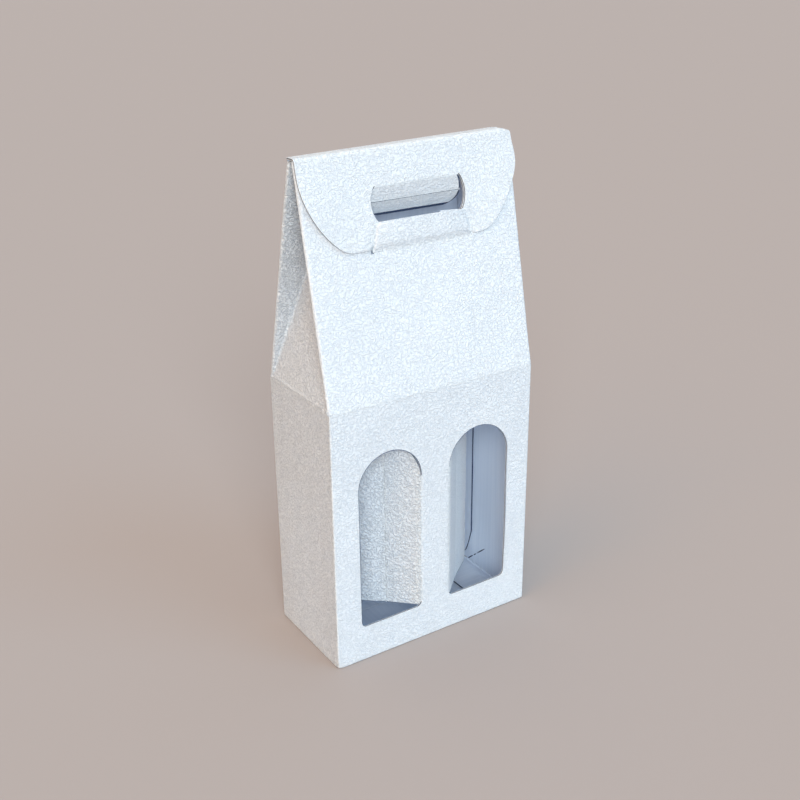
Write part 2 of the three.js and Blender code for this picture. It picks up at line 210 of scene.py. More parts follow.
def embossed_board(name, depth, furrow_shade_colour):
    """White pressed paper whose furrows are painted a darker colour as shade. Height = 2.6 times smooth noise
    + half a step at each furrow + fine pores, all times the depth in millimetres."""
    material, tree = new_material(name)
    place_of = add_node(tree, "ShaderNodeTexCoord").outputs["Object"]
    drawn_out = add_node(
        tree, "ShaderNodeMapping", {"Vector": place_of, "Rotation": WRINKLE_TURN, "Scale": WRINKLE_STRETCH},
        vector_type="TEXTURE",
    )
    wrinkle = add_node(
        tree, "ShaderNodeTexNoise",
        {
            "Vector": drawn_out.outputs[0], "Scale": WRINKLES, "Detail": 1.0, "Roughness": 0.5,
            "Distortion": 0.6,
        },
    )
    from_half = add_node(tree, "ShaderNodeMath", {0: wrinkle.outputs[0], 1: 0.5}, operation="SUBTRACT")
    from_line = add_node(tree, "ShaderNodeMath", {0: from_half.outputs[0]}, operation="ABSOLUTE")
    furrow = add_node(
        tree, "ShaderNodeMapRange",
        {"Value": from_line.outputs[0], "From Min": 0.0, "From Max": FURROW_REACH},
        interpolation_type="SMOOTHSTEP",
    )
    pores = add_node(
        tree, "ShaderNodeTexNoise", {"Vector": place_of, "Scale": PORES, "Detail": 2.0}
    )
    fine = add_node(
        tree, "ShaderNodeMath", {0: furrow.outputs[0], 1: FURROW_SHARE, 2: pores.outputs[0]},
        operation="MULTIPLY_ADD",
    )
    height = add_node(
        tree, "ShaderNodeMath", {0: wrinkle.outputs[0], 1: WRINKLE_SHARE, 2: fine.outputs[0]},
        operation="MULTIPLY_ADD",
    )
    grain = add_node(
        tree, "ShaderNodeBump", {"Height": height.outputs[0], "Strength": 1.0, "Distance": depth * MM}
    )
    cloud = add_node(
        tree, "ShaderNodeTexNoise", {"Vector": place_of, "Scale": CLOUDS, "Detail": 3.0}
    )
    tint = add_node(
        tree, "ShaderNodeMix", {"Factor": cloud.outputs[0], "A": linear("#EFF1F2"), "B": linear("#F5F6F6")},
        data_type="RGBA",
    )
    # painted shade: the furrows take the darker colour
    painted_furrow_shade = add_node(
        tree, "ShaderNodeMix",
        {"Factor": furrow.outputs[0], "A": linear(furrow_shade_colour), "B": tint.outputs["Result"]},
        data_type="RGBA",
    )
    # coated and pressed paper is satin, and about a quarter of the light crosses the sheet
    add_paper(tree, painted_furrow_shade.outputs["Result"], roughness=0.55, relief=grain.outputs[0], through=0.24)
    return material


# the last value is the furrows' painted shade, darker where the light rakes
embossed = embossed_board("embossed_board", 0.4, "#DFE3E7")
raked = embossed_board("raked_embossed_board", 0.8, "#CBCFD4")
RAKED = ("left_wall", "right_wall", "gusset", "left_window")
print("embossed_board and raked_embossed_board have", len(embossed.node_tree.nodes), "nodes each")

# %% [markdown]
# ## Liner
#
# The inner face is plain white liner, calendered but not coated: matt, and a little cooler than the
# outside, because it only gets light from the windows and through the sheet.
# The flutes behind it show as faint upright lines, 3.2 mm apart, because the glue draws the paper in.
# The lines follow the board's own UV map, which is the flat die in metres, so they run up each wall.
# Fibres 1.1 mm apart roughen the paper, and streaks 2.4 mm wide and 143 mm long tint it.

# %% Liner
FLUTE = 3.2
FIBRES, STREAKS = 900.0, (420.0, 7.0, 1.0)


def flute_wave(tree, die_u):
    """Sine of the place along the die, with one wave for each flute."""
    phase = add_node(tree, "ShaderNodeMath", {0: die_u, 1: 2 * math.pi / (FLUTE * MM)}, operation="MULTIPLY")
    return add_node(tree, "ShaderNodeMath", {0: phase.outputs[0]}, operation="SINE").outputs[0]


liner, tree = new_material("liner")
die = add_node(tree, "ShaderNodeUVMap", uv_map="die")
place_of = add_node(tree, "ShaderNodeTexCoord").outputs["Object"]
die_parts = add_node(tree, "ShaderNodeSeparateXYZ", {0: die.outputs[0]})
wave = flute_wave(tree, die_parts.outputs[0])
fibre = add_node(tree, "ShaderNodeTexNoise", {"Vector": place_of, "Scale": FIBRES, "Detail": 4.0})
relief = add_node(tree, "ShaderNodeMath", {0: wave, 1: 0.20, 2: fibre.outputs[0]}, operation="MULTIPLY_ADD")
fluted = add_node(
    tree, "ShaderNodeBump", {"Height": relief.outputs[0], "Strength": 0.7, "Distance": 0.03 * MM}
)
upright = add_node(tree, "ShaderNodeVectorMath", {0: die.outputs[0], 1: STREAKS}, operation="MULTIPLY")
streak = add_node(tree, "ShaderNodeTexNoise", {"Vector": upright.outputs[0], "Scale": 1.0, "Detail": 2.0})
streaked = add_node(
    tree, "ShaderNodeMapRange", {"Value": streak.outputs[0], "From Min": 0.3, "From Max": 0.7}
)
tint = add_node(
    tree, "ShaderNodeMix",
    {"Factor": streaked.outputs["Result"], "A": linear("#DFE7F3"), "B": linear("#ECF2FB")},
    data_type="RGBA",
)
# bare liner is matt, and lets a little more light through
add_paper(tree, tint.outputs["Result"], roughness=0.75, relief=fluted.outputs[0], through=0.30)
print("liner flutes every", FLUTE, "mm")

# %% [markdown]
# ## Cut edge
#
# A cut edge shows the board's make: two liners and the waved medium between them, with the shade in the
# hollows where the wave leaves the liner painted dark.
# The edge's UV map gives the place along the die and the depth in the board, so the wave is a sine of the
# first compared with the second.
# All sizes across the edge are shares of the board's thickness. Each pair of values is where a layer starts
# to fade and where it has ended.

# %% Cut edge
SWING_SHARE = 0.27
MEDIUM_SHARES, LINER_SHARES = (0.09, 0.18), (0.36, 0.28)


def share_apart(tree, value, other):
    """How far apart two shares of the thickness are, whichever is larger."""
    off = add_node(tree, "ShaderNodeMath", {0: value, 1: other}, operation="SUBTRACT")
    return add_node(tree, "ShaderNodeMath", {0: off.outputs[0]}, operation="ABSOLUTE").outputs[0]


cut_edge, tree = new_material("cut_edge")
die = add_node(tree, "ShaderNodeUVMap", uv_map="die")
parts = add_node(tree, "ShaderNodeSeparateXYZ", {0: die.outputs[0]})
wave = flute_wave(tree, parts.outputs[0])
middle = add_node(tree, "ShaderNodeMath", {0: wave, 1: SWING_SHARE, 2: 0.5}, operation="MULTIPLY_ADD")
depth = add_node(tree, "ShaderNodeMath", {0: parts.outputs[1], 1: 1 / (BOARD * MM)}, operation="MULTIPLY")
from_medium = share_apart(tree, depth.outputs[0], middle.outputs[0])
pocket = add_node(
    tree, "ShaderNodeMapRange",
    {"Value": from_medium, "From Min": MEDIUM_SHARES[0], "From Max": MEDIUM_SHARES[1]},
)
towards_face = share_apart(tree, depth.outputs[0], 0.5)
inside = add_node(
    tree, "ShaderNodeMapRange",
    {"Value": towards_face, "From Min": LINER_SHARES[0], "From Max": LINER_SHARES[1]},
)
# painted shadow in the flute's hollows, away from the medium and between the liners
pocket_shade = add_node(tree, "ShaderNodeMath", {0: pocket.outputs[0], 1: inside.outputs[0]}, operation="MULTIPLY")
layers = add_node(
    tree, "ShaderNodeMix", {"Factor": inside.outputs[0], "A": linear("#E9ECEF"), "B": linear("#8B8E94")},
    data_type="RGBA",
)
tint = add_node(
    tree, "ShaderNodeMix",
    {"Factor": pocket_shade.outputs[0], "A": layers.outputs["Result"], "B": linear("#545A66")}, data_type="RGBA",
)
paper = add_node(
    tree, "ShaderNodeBsdfPrincipled",
    {"Base Color": tint.outputs["Result"], "Roughness": 0.85, "IOR": PAPER_IOR},
)
add_node(tree, "ShaderNodeOutputMaterial", {"Surface": paper.outputs[0]})
print("cut_edge has", len(tree.nodes), "nodes")

# %% [markdown]
# ## Painted shade along cuts
#
# A steel rule presses the board down as it cuts, and shade falls into the crushed hair of the outer face
# beside the cut. That shade is painted as a plain darker paper, 0.6 mm wide, which gives the cuts their thin
# dark outline.
# The shadow line where a flap's edge lies on another board, or where a gap or slit shows, is painted as an
# even darker paper.

# %% Painted shade rim and painted shadow line
TORN_FIBRES = 1600.0


def plain_paper(name, hex_colour, roughness):
    """One colour of rough paper, matt all over, with a faint relief of torn fibres."""
    material, tree = new_material(name)
    place_of = add_node(tree, "ShaderNodeTexCoord").outputs["Object"]
    fibre = add_node(
        tree, "ShaderNodeTexNoise", {"Vector": place_of, "Scale": TORN_FIBRES, "Detail": 3.0}
    )
    relief = add_node(
        tree, "ShaderNodeBump", {"Height": fibre.outputs[0], "Strength": 0.6, "Distance": 0.05 * MM}
    )
    paper = add_node(
        tree, "ShaderNodeBsdfPrincipled",
        {"Base Color": linear(hex_colour), "Roughness": roughness, "Normal": relief.outputs[0]},
    )
    add_node(tree, "ShaderNodeOutputMaterial", {"Surface": paper.outputs[0]})
    return material


# Both papers paint shade: the rim beside cuts, and the darker line at edges, gaps and slits.
painted_shade_rim = plain_paper("painted_shade_rim", "#4F5A70", 0.8)
shadow_line_paper = plain_paper("painted_shadow_line", "#2E3A55", 0.9)
print("painted_shade_rim and painted_shadow_line are plain papers")

# %% [markdown]
# ## A board from two faces
#
# Every piece is a thin closed sheet: a grid of points for the outer face, another for the inner face, and a
# row of faces round each free border.
# A ring grid closes on itself and has a hole in the middle. An open grid has four borders.

# %% Faces of a grid
# SHADED_RIM and SHADOW_LINE pick the two papers that paint shade.
OUTER, INNER, EDGE, SHADED_RIM, SHADOW_LINE = range(5)


def grid_quads(ids, ring):
    """Four vertex numbers for each cell between neighbouring rows and columns."""
    low, high = ids[:-1], ids[1:]
    if ring:
        return np.stack([low, np.roll(low, -1, 1), np.roll(high, -1, 1), high], -1).reshape(-1, 4)
    return np.stack([low[:, :-1], low[:, 1:], high[:, 1:], high[:, :-1]], -1).reshape(-1, 4)


def border_quads(outer, inner, ring):
    """Faces that join the outer and inner face along the first row, the last row and, where the grid is
    open, both side columns."""
    def strip(top, bottom, wrap):
        if wrap:
            top, bottom = np.append(top, top[0]), np.append(bottom, bottom[0])
        return np.stack([top[1:], top[:-1], bottom[:-1], bottom[1:]], -1)

    strips = [strip(outer[0], inner[0], ring), strip(outer[-1], inner[-1], ring)[:, ::-1]]
    if not ring:
        strips += [strip(outer[:, 0], inner[:, 0], False)[:, ::-1], strip(outer[:, -1], inner[:, -1], False)]
    return np.concatenate(strips)


# %% [markdown]
# The faces are smooth, with sharp edges where the board is cut, and a small bevel softens those edges as a
# die does.
# The UV map holds the flat die in metres. On a cut edge its second number is the depth in the board instead.

# %% Mesh from faces
RIDGE_TILT, TILT_SHARE, TILT_REACH = 2.0, 0.15, 50.0
SUNK_END, SUNK_REACH, SUNK_START = 2.4, 10.0, 17.0
RUBBED_CORNER, RUBBED_REACH, RUBBED_HEIGHT = 0.9, 5.0, 7.0


def settled(points):
    """The box as use has left it: the ridge tilts by 2 mm either way, its right end has sunk over its last 10
    mm, and the lower left corner is rubbed in."""
    x, y, z = points[:, 0], points[:, 1], points[:, 2]
    tilted = RIDGE_TILT * (x / HALF + TILT_SHARE) * smooth((z - HEIGHT + TILT_REACH) / TILT_REACH)
    at_end = smooth((x - (HALF - SUNK_REACH)) / SUNK_REACH) ** 1.5
    sunk = SUNK_END * at_end * smooth((z - HEIGHT + SUNK_START) / 15)
    at_left = smooth((-x - (HALF - RUBBED_REACH)) / RUBBED_REACH)
    at_front = smooth((-y - (DEEP - RUBBED_REACH)) / RUBBED_REACH)
    rubbed = RUBBED_CORNER * at_left * at_front * smooth((RUBBED_HEIGHT - z) / RUBBED_HEIGHT)
    return points + np.stack([rubbed, rubbed, tilted - sunk], -1)


def make_mesh(name, points, faces, kinds, uvs, weld=False):
    """Points in millimetres become metres. kinds picks the material of each face, and uvs holds a pair for
    each corner."""
    mesh = bpy.data.meshes.new(name)
    mesh.from_pydata((settled(points) * MM).tolist(), [], faces.tolist())
    face_paper = raked if any(word in name for word in RAKED) else embossed
    for material in (face_paper, liner, cut_edge, painted_shade_rim, shadow_line_paper):
        mesh.materials.append(material)
    mesh.polygons.foreach_set("material_index", kinds.astype(np.int32))
    mesh.polygons.foreach_set("use_smooth", np.ones(len(faces), bool))
    layer = mesh.uv_layers.new(name="die")
    layer.uv.foreach_set("vector", uvs.reshape(-1).astype(np.float32))
    mesh.update()
    if weld:
        weld_mesh(mesh)
    mesh.set_sharp_from_angle(angle=math.radians(38))
    piece = bpy.data.objects.new(name, mesh)
    bpy.context.scene.collection.objects.link(piece)
    return piece


def weld_mesh(mesh):
    """Joins points closer than a hundredth of a millimetre."""
    work = bmesh.new()
    work.from_mesh(mesh)
    bmesh.ops.remove_doubles(work, verts=work.verts, dist=0.01 * MM)
    work.to_mesh(mesh)
    work.free()


def sheet_parts(outer, inner, flat, ring, keep_border=None):
    """Points, faces, kinds and UVs of one closed sheet. keep_border leaves out border faces, where another
    grid goes on."""
    rows, columns = outer.shape[:2]
    ids = np.arange(rows * columns).reshape(rows, columns)
    points = np.concatenate([outer.reshape(-1, 3), inner.reshape(-1, 3)])
    face = grid_quads(ids, ring)
    back = face[:, ::-1] + rows * columns
    edge = border_quads(ids, ids + rows * columns, ring)
    a, b, c = (outer.reshape(-1, 3)[face[:, corner]] for corner in (0, 1, 3))
    thick = (outer - inner).reshape(-1, 3)[face[:, 0]]
    if np.einsum("ij,ij->i", np.cross(b - a, c - a), thick).sum() < 0:
        face, back, edge = face[:, ::-1], back[:, ::-1], edge[:, ::-1]
    if keep_border is not None:
        edge = edge[keep_border(points[edge % (rows * columns)])]
    faces = np.concatenate([face, back, edge])
    kinds = np.repeat([OUTER, INNER, EDGE], [len(face), len(back), len(edge)])
    uvs = np.concatenate([flat.reshape(-1, 2)] * 2)[faces] * MM
    is_back = edge >= rows * columns
    uvs[len(face) + len(back):, :, 1] = np.where(is_back, 0.0, BOARD * MM)
    return points, faces, kinds, uvs


# %% [markdown]
# ## Folds
#
# Where two panels meet, paper doesn't turn a sharp corner. The outer face follows a small circle that
# touches both panels, and the two boards end on the plane midway between them.
# The depth of the circle below the panel's plane is a function of the distance to the crease, so it works
# for any grid.

# %% The roll of a crease
def crease_drop(distance, fold, radius):
    """Depth = radius - sqrt(radius squared - x squared), where x is how far the point is past the touching
    line."""
    touch = radius * math.tan(fold / 2)
    past = np.clip(touch - distance, 0, radius * math.sin(fold / 2))
    return radius - np.sqrt(radius**2 - past**2)


def crease_end(fold, radius=CREASE_RADIUS):
    """Distance from the crease at which the outer face meets the plane midway between both panels."""
    return radius * (math.tan(fold / 2) - math.sin(fold / 2))


def smooth(t):
    """3 t squared - 2 t cubed, between 0 and 1."""
    t = np.clip(t, 0, 1)
    return t * t * (3 - 2 * t)


def faces_of(matrix, flat, creases=(), lift=0.0, radius=CREASE_RADIUS):
    """Outer and inner face of a panel. Each crease is (direction into the panel, its place along it, fold
    angle)."""
    down = np.zeros(flat.shape[:2])
    inner_flat = flat.copy()
    for direction, at, fold in creases:
        direction = np.array(direction, float)
        distance = flat @ direction - at
        down = down + crease_drop(distance, fold, radius)
        shift = BOARD * math.tan(fold / 2) - crease_end(fold, radius)
        inner_flat += (shift * (1 - smooth(distance / 6)))[..., None] * direction
    outer = place(matrix, flat, lift - down)
    inner = place(matrix, inner_flat, lift - BOARD)
    return outer, inner


# %% [markdown]
# Large panels of thin board are never flat. A few long waves, some tenths of a millimetre high, bend the
# light over them as in the photograph, and die out towards the creases that hold the panel straight.

# %% Gentle waves in a panel
WAVE_HEIGHT, WAVE_SHORT, WAVE_LONG, WAVES = 0.35, 60, 150, 4
HELD_REACH = 22.0


def waves(flat, seed, height=WAVE_HEIGHT):
    """Sum of four sines with random directions and lengths of 60 to 150 mm, times half the height."""
    random = np.random.default_rng(seed)
    turns = random.uniform(0, math.pi, WAVES)
    lengths = random.uniform(WAVE_SHORT, WAVE_LONG, WAVES)
    starts = random.uniform(0, 6.28, WAVES)
    total = np.zeros(flat.shape[:2])
    for turn, length, start in zip(turns, lengths, starts):
        total += np.sin((flat @ np.array([math.cos(turn), math.sin(turn)])) * 2 * math.pi / length + start)
    return total * height / 2


def held(flat, creases, reach=HELD_REACH):
    """0 at every crease and 1 further than reach from all of them."""
    share = np.ones(flat.shape[:2])
    for direction, at, _ in creases:
        share = share * smooth((flat @ np.array(direction, float) - at) / reach)
    return share


# %% [markdown]
# ## Two kinds of grid
#
# A band runs between two side lines. Its rows and columns crowd together near creases, where the board bends.
# A ring runs from a hole to the panel's border along rays from the hole's middle, so the cut edge is as
# smooth as the outline.

# %% Bands
NEAR_CREASE = (0.0, 0.15, 0.35, 0.6, 0.9, 1.3, 2.5)


def crowded(start, end, step, near=NEAR_CREASE):
    """Places from start to end, a step apart, with extra ones close to both ends."""
    inside = np.linspace(start, end, max(2, int(abs(end - start) / step)) + 1)
    sign = 1 if end > start else -1
    low = start + sign * np.array(near)
    high = end - sign * np.array(near)
    inside = inside[(abs(inside - start) > near[-1] + 0.5) & (abs(inside - end) > near[-1] + 0.5)]
    places = np.concatenate([low, inside, high])
    return places[np.argsort(sign * places)]


def band(columns, rows):
    """The flat grid with one row for each row place and one column for each column place."""
    u, v = np.meshgrid(columns, rows)
    return np.stack([u, v], -1)


def shared_out(share, half, rows):
    """The flat grid whose columns share out the half width of each row, from -1 on the left to 1 on the
    right."""
    return np.stack(
        [share[None, :] * half[:, None], np.broadcast_to(rows[:, None], (len(rows), len(share)))], -1
    )


def make_board(name, body, nodes, matrix, flat, creases=(), seed=None):
    """A closed board that stands for its CAD nodes and rides on their body."""
    bulge = 0.0 if seed is None else waves(flat, seed) * held(flat, creases)
    outer, inner = faces_of(matrix, flat, creases, bulge)
    piece = make_mesh(name, *sheet_parts(outer, inner, flat, False))
    return dress(piece, body, nodes)


EDGE_BEVEL = 0.12


def dress(piece, body, nodes):
    """Rides on its body, stands for its nodes, and gets softly rounded cut edges."""
    bevel = piece.modifiers.new("softened_edges", "BEVEL")
    bevel.width, bevel.segments = EDGE_BEVEL * MM, 1
    bevel.limit_method, bevel.angle_limit = "ANGLE", math.radians(50)
    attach(piece, body)
    if nodes:
        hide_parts(*nodes)
    print(piece.name, len(piece.data.polygons), "faces")
    return piece


# %% [markdown]
# ## Walls without windows
#
# The back and side walls are plain bands, folded a quarter turn at their upright edges and a few degrees at
# the shoulder.

# %% Back and side walls
QUARTER = math.pi / 2
corner_end = crease_end(QUARTER)


def wall_creases(half, lean):
    """A wall's four creases: both upright edges, the bottom and the shoulder, each with its fold."""
    return [
        ((1, 0), -half, QUARTER), ((-1, 0), -half, QUARTER), ((0, 1), 0, QUARTER),
        ((0, -1), -SHOULDER, lean),
    ]


def wall(name, node, matrix, half, lean, seed):
    """A wall between two upright creases, with the shoulder crease above it and the bottom crease below."""
    creases = wall_creases(half, lean)
    columns = crowded(-half + corner_end, half - corner_end, CELL)
    rows = crowded(corner_end, SHOULDER - crease_end(lean), CELL)
    return make_board(name, "carton", [node], matrix, band(columns, rows), creases, seed)


wall("back_wall", "back_panel", back_frame, HALF, BACK_LEAN, 3)
wall("left_wall", "left_side_panel", left_frame, DEEP, GUSSET_LEAN, 4)
RIGHT_SEED = 5  # the slits in this wall follow the same waves
wall("right_wall", "right_side_panel", right_frame, DEEP, GUSSET_LEAN, RIGHT_SEED)

# %% [markdown]
# ## Loops and rays
#
# A ring grid needs two loops: the hole and the panel's border. Each ray from the middle meets a loop once,
# because both are star-shaped around it.

# %% Loops and rays
def arc(centre, radius, start, end, steps=24):
    """Points on a circle from one angle to another, in degrees."""
    turn = np.radians(np.linspace(start, end, steps))
    return np.stack([centre[0] + radius * np.cos(turn), centre[1] + radius * np.sin(turn)], -1)


def box_loop(left, right, bottom, top):
    """A rectangle's four corners, against the clock from the lower right."""
    return np.array([(right, bottom), (right, top), (left, top), (left, bottom)], float)


def resampled(loop, step):
    """Extra points along each side of a loop, at most a step apart."""
    nxt = np.roll(loop, -1, 0)
    counts = np.maximum(1, np.ceil(np.linalg.norm(nxt - loop, axis=1) / step).astype(int))
    start, end = np.repeat(loop, counts, 0), np.repeat(nxt, counts, 0)
    share = np.concatenate([np.arange(n) / n for n in counts])[:, None]
    return start + (end - start) * share


def flat_cross(a, b):
    """Cross product of flat vectors: a's first times b's second, less a's second times b's first."""
    return a[:, 0] * b[:, 1] - a[:, 1] * b[:, 0]


def ray_reach(loop, centre, angles):
    """Distance from centre to the loop along each angle: cross(p, q - p) / cross(ray, q - p) for the side
    from p to q that the ray meets."""
    rel = loop - centre
    turn = np.unwrap(np.arctan2(rel[:, 1], rel[:, 0]))
    if turn[-1] < turn[0]:
        rel, turn = rel[::-1], turn[::-1]
    wanted = turn[0] + np.mod(angles - turn[0], 2 * math.pi)
    side = np.clip(np.searchsorted(turn, wanted + 1e-9, side="right") - 1, 0, len(rel) - 1)
    p, q = rel[side], rel[(side + 1) % len(rel)]
    ray = np.stack([np.cos(angles), np.sin(angles)], -1)
    return flat_cross(p, q - p) / flat_cross(ray, q - p)


NEAR_HOLE = (0.0, 0.6, 1.0, 1.5, 2.1, 3.0)  # the first step is the rim painted as shade


def ring_grid(hole, borders, centre, step=3.0, span=5.0):
    """Rows from the hole out to the last border. borders run from the inside out, and the rows between are
    shared out evenly."""
    centre = np.array(centre, float)
    key = np.concatenate([resampled(borders[-1], step), resampled(hole, step)]) - centre
    angles = np.unique(np.round(np.arctan2(key[:, 1], key[:, 0]), 4))
    first = ray_reach(hole, centre, angles)
    reaches = [ray_reach(loop, centre, angles) for loop in borders]
    near = [first + d for d in NEAR_HOLE]
    left = reaches[0] - near[-1]
    count = max(2, int(np.median(left) / span))
    between = [near[-1] + left * k / count for k in range(1, count)]
    reach = np.stack(near + between + reaches)
    ray = np.stack([np.cos(angles), np.sin(angles)], -1)
    return centre + reach[..., None] * ray


NEAR_BORDER = (6.0, 2.5, 1.3, 0.9, 0.6, 0.35, 0.15, 0.0)


def shrinking_boxes(left, right, bottom, top):
    """Rectangles that close in on the border, for the rows that follow a crease's roll."""
    return [box_loop(left + d, right - d, bottom + d, top - d) for d in NEAR_BORDER]


# %% [markdown]
# ## Front wall with two windows
#
# Each window is a round-headed arch whose board was cut on three sides and pushed in. Along the uncut side
# the front rolls softly inwards, because that crease isn't scored deeply.
# The wall is made as two halves, a ring round each window, and welded down the middle.

# %% Window outline
WINDOW_LEFT, WINDOW_RIGHT, SILL, WINDOW_TOP, SILL_CORNER = 13.0, 68.0, 30.0, 172.0, 4.0
WINDOW_RADIUS = (WINDOW_RIGHT - WINDOW_LEFT) / 2
SPRINGING = WINDOW_TOP - WINDOW_RADIUS
WINDOW_MIDDLE = (WINDOW_LEFT + WINDOW_RIGHT) / 2
FLAP_TURN, FLAP_BEND = math.radians(44), math.radians(-6)
SOFT_RADIUS = 8.0


def arch_loop(inset=0.0):
    """The window's outline against the clock: sill, corner arcs, jambs and a half circle, drawn in by the
    inset."""
    corner, radius = SILL_CORNER - inset, WINDOW_RADIUS - inset
    left, right, sill = WINDOW_LEFT + inset, WINDOW_RIGHT - inset, SILL + inset
    return np.concatenate([
        arc((right - corner, sill + corner), corner, -90, 0, 7),
        arc((WINDOW_MIDDLE, SPRINGING), radius, 0, 180, 72),
        arc((left + corner, sill + corner), corner, 180, 270, 7),
    ])


HINGE_TOUCH = (SOFT_RADIUS - BOARD) * math.tan(FLAP_TURN / 2)
ROLL_FADE = 3.0


def hinge_roll(u, v):
    """Depth of the soft roll along a window's hinge, from the same circle as a crease, fading out where the
    cuts begin."""
    past = np.clip(np.abs(u) - (WINDOW_LEFT - HINGE_TOUCH), 0, HINGE_TOUCH + 0.01)
    depth = SOFT_RADIUS - np.sqrt(SOFT_RADIUS**2 - past**2)
    above_sill = smooth((v - SILL - SILL_CORNER + ROLL_FADE / 2) / ROLL_FADE)
    inside = above_sill * smooth((SPRINGING + ROLL_FADE / 2 - v) / ROLL_FADE)
    return np.where(np.abs(u) < WINDOW_LEFT + 0.5, depth * inside, 0.0)


print(
    "windows", WINDOW_RIGHT - WINDOW_LEFT, "x", WINDOW_TOP - SILL, "mm; the roll starts",
    round(HINGE_TOUCH, 2), "mm before the hinge",
)

# %% Front wall
front_creases = wall_creases(HALF, FRONT_LEAN)
half_wall = ring_grid(
    arch_loop(), shrinking_boxes(0.0, HALF - corner_end, corner_end, SHOULDER - crease_end(FRONT_LEAN)),
    (WINDOW_MIDDLE, (SILL + WINDOW_TOP) / 2),
)


DENT_PLACE, DENT_WIDE, DENT_DEEP = -39.0, 1.1, 0.55
DENT_LOW, DENT_HIGH = 3.0, 24.0


def crush_dent(u, v):
    """A small upright dent at the lower left of the front, from a knock: a bell curve across, fading out at
    both ends."""
    across = np.exp(-(((u - DENT_PLACE) / DENT_WIDE) ** 2))
    return -DENT_DEEP * across * smooth((v - DENT_LOW) / 4) * smooth((DENT_HIGH - v) / 7)


def half_front(side):
    """Half of the front wall, mirrored for the left side, without border faces where the halves meet."""
    flat = half_wall * np.array([side, 1.0])
    u, v = flat[..., 0], flat[..., 1]
    lift = waves(flat, 7, 0.3) * held(flat, front_creases) - hinge_roll(u, v) + crush_dent(u, v)
    outer, inner = faces_of(front_frame, flat, front_creases, lift)
    points, faces, kinds, uvs = sheet_parts(
        outer, inner, flat, True, lambda p: np.abs(p[:, :, 0]).max(1) > 1e-6
    )
    middle = flat.reshape(-1, 2)[faces[: flat.shape[1]]].mean(1)
    # The first row round the arch and jambs, above the sill, is painted dark as the shade at the cut.
    cut = (middle[:, 1] > SILL + 5) & (
        (np.abs(middle[:, 0]) > WINDOW_LEFT + 0.2) | (middle[:, 1] > SPRINGING)
    )
    kinds[: flat.shape[1]][cut] = SHADED_RIM
    return points, faces, kinds, uvs


halves = [half_front(1.0), half_front(-1.0)]
count = len(halves[0][0])
front_wall = make_mesh(
    "front_wall",
    np.concatenate([h[0] for h in halves]),
    np.concatenate([halves[0][1], halves[1][1] + count]),
    np.concatenate([h[2] for h in halves]),
    np.concatenate([h[3] for h in halves]),
    weld=True,
)
dress(front_wall, "carton", ["front_panel"])

# %% [markdown]
# ## Gables
#
# The gables lean towards the ridge. Their side edges are folded right over onto the gussets' webs, so they
# are round, as thick as two boards.
# The front gable's opening is the handle hole and the slot that the lock tongue was cut from, in one outline.

# %% Handle hole and slots
HANDLE_SHIFT = 4.0
HOLE_TOP, HOLE_BOTTOM, HOLE_HALF, HOLE_RISE = -26.0, -50.5, 40.0, 4.0
TONGUE_ROOT = -70.95
STACK = 2 * BOARD + LAY
TURN_RADIUS = STACK / 2
hole_half_height = (HOLE_TOP - HOLE_BOTTOM) / 2
hole_radius = (hole_half_height**2 + HOLE_RISE**2) / (2 * HOLE_RISE)
hole_swing = math.degrees(math.asin(hole_half_height / hole_radius))
hole_middle = (HOLE_TOP + HOLE_BOTTOM) / 2


def hole_loop(shift, up=0.0):
    """The handle hole against the clock, moved along and up: two straight long sides, and ends that are
    shallow arcs."""
    right = arc((HOLE_HALF - hole_radius, hole_middle), hole_radius, -hole_swing, hole_swing, 16)
    left = arc((hole_radius - HOLE_HALF, hole_middle), hole_radius, 180 - hole_swing, 180 + hole_swing, 16)
    return np.concatenate([right, left]) + np.array([shift, up])


def slotted_hole_loop(shift, up):
    """The same hole with the tongue's slot below it, torn open by 2 mm at the slot's lower left."""
    notch = [(-42.3, -68.9), (-44.1, -69.9), (-43.8, -71.8), (-41.6, -71.6), (-40.5, TONGUE_ROOT)]
    below = np.array([(-36.9, HOLE_BOTTOM - 0.2), *notch, (42.9, TONGUE_ROOT), (36.9, HOLE_BOTTOM - 0.2)])
    return np.concatenate([hole_loop(0.0), below]) + np.array([shift, up])


def turned_edge(u):
    """Depth of a gable's face near its folded side edge: a quarter circle whose radius is half the stack of
    two boards."""
    past = np.clip(np.abs(u) - (HALF - TURN_RADIUS), 0, TURN_RADIUS)
    return TURN_RADIUS - np.sqrt(np.maximum(TURN_RADIUS**2 - past**2, 0))


def gable(name, node, matrix, hole, centre, top, creases, seed):
    """A gable with its opening. The inner face stops short of the folded edge, inside the roll."""
    border = shrinking_boxes(-HALF, HALF, creases[0][1] + crease_end(creases[0][2]), top)
    flat = ring_grid(hole, border, centre)
    lift = waves(flat, seed, 0.25) * held(flat, creases)
    outer, inner = faces_of(matrix, flat, creases, lift)
    outer -= turned_edge(flat[..., 0])[..., None] * matrix[:3, 2]
    inner[..., 0] = np.clip(inner[..., 0], -HALF + 0.5, HALF - 0.5)
    return dress(make_mesh(name, *sheet_parts(outer, inner, flat, True)), "carton", [node])


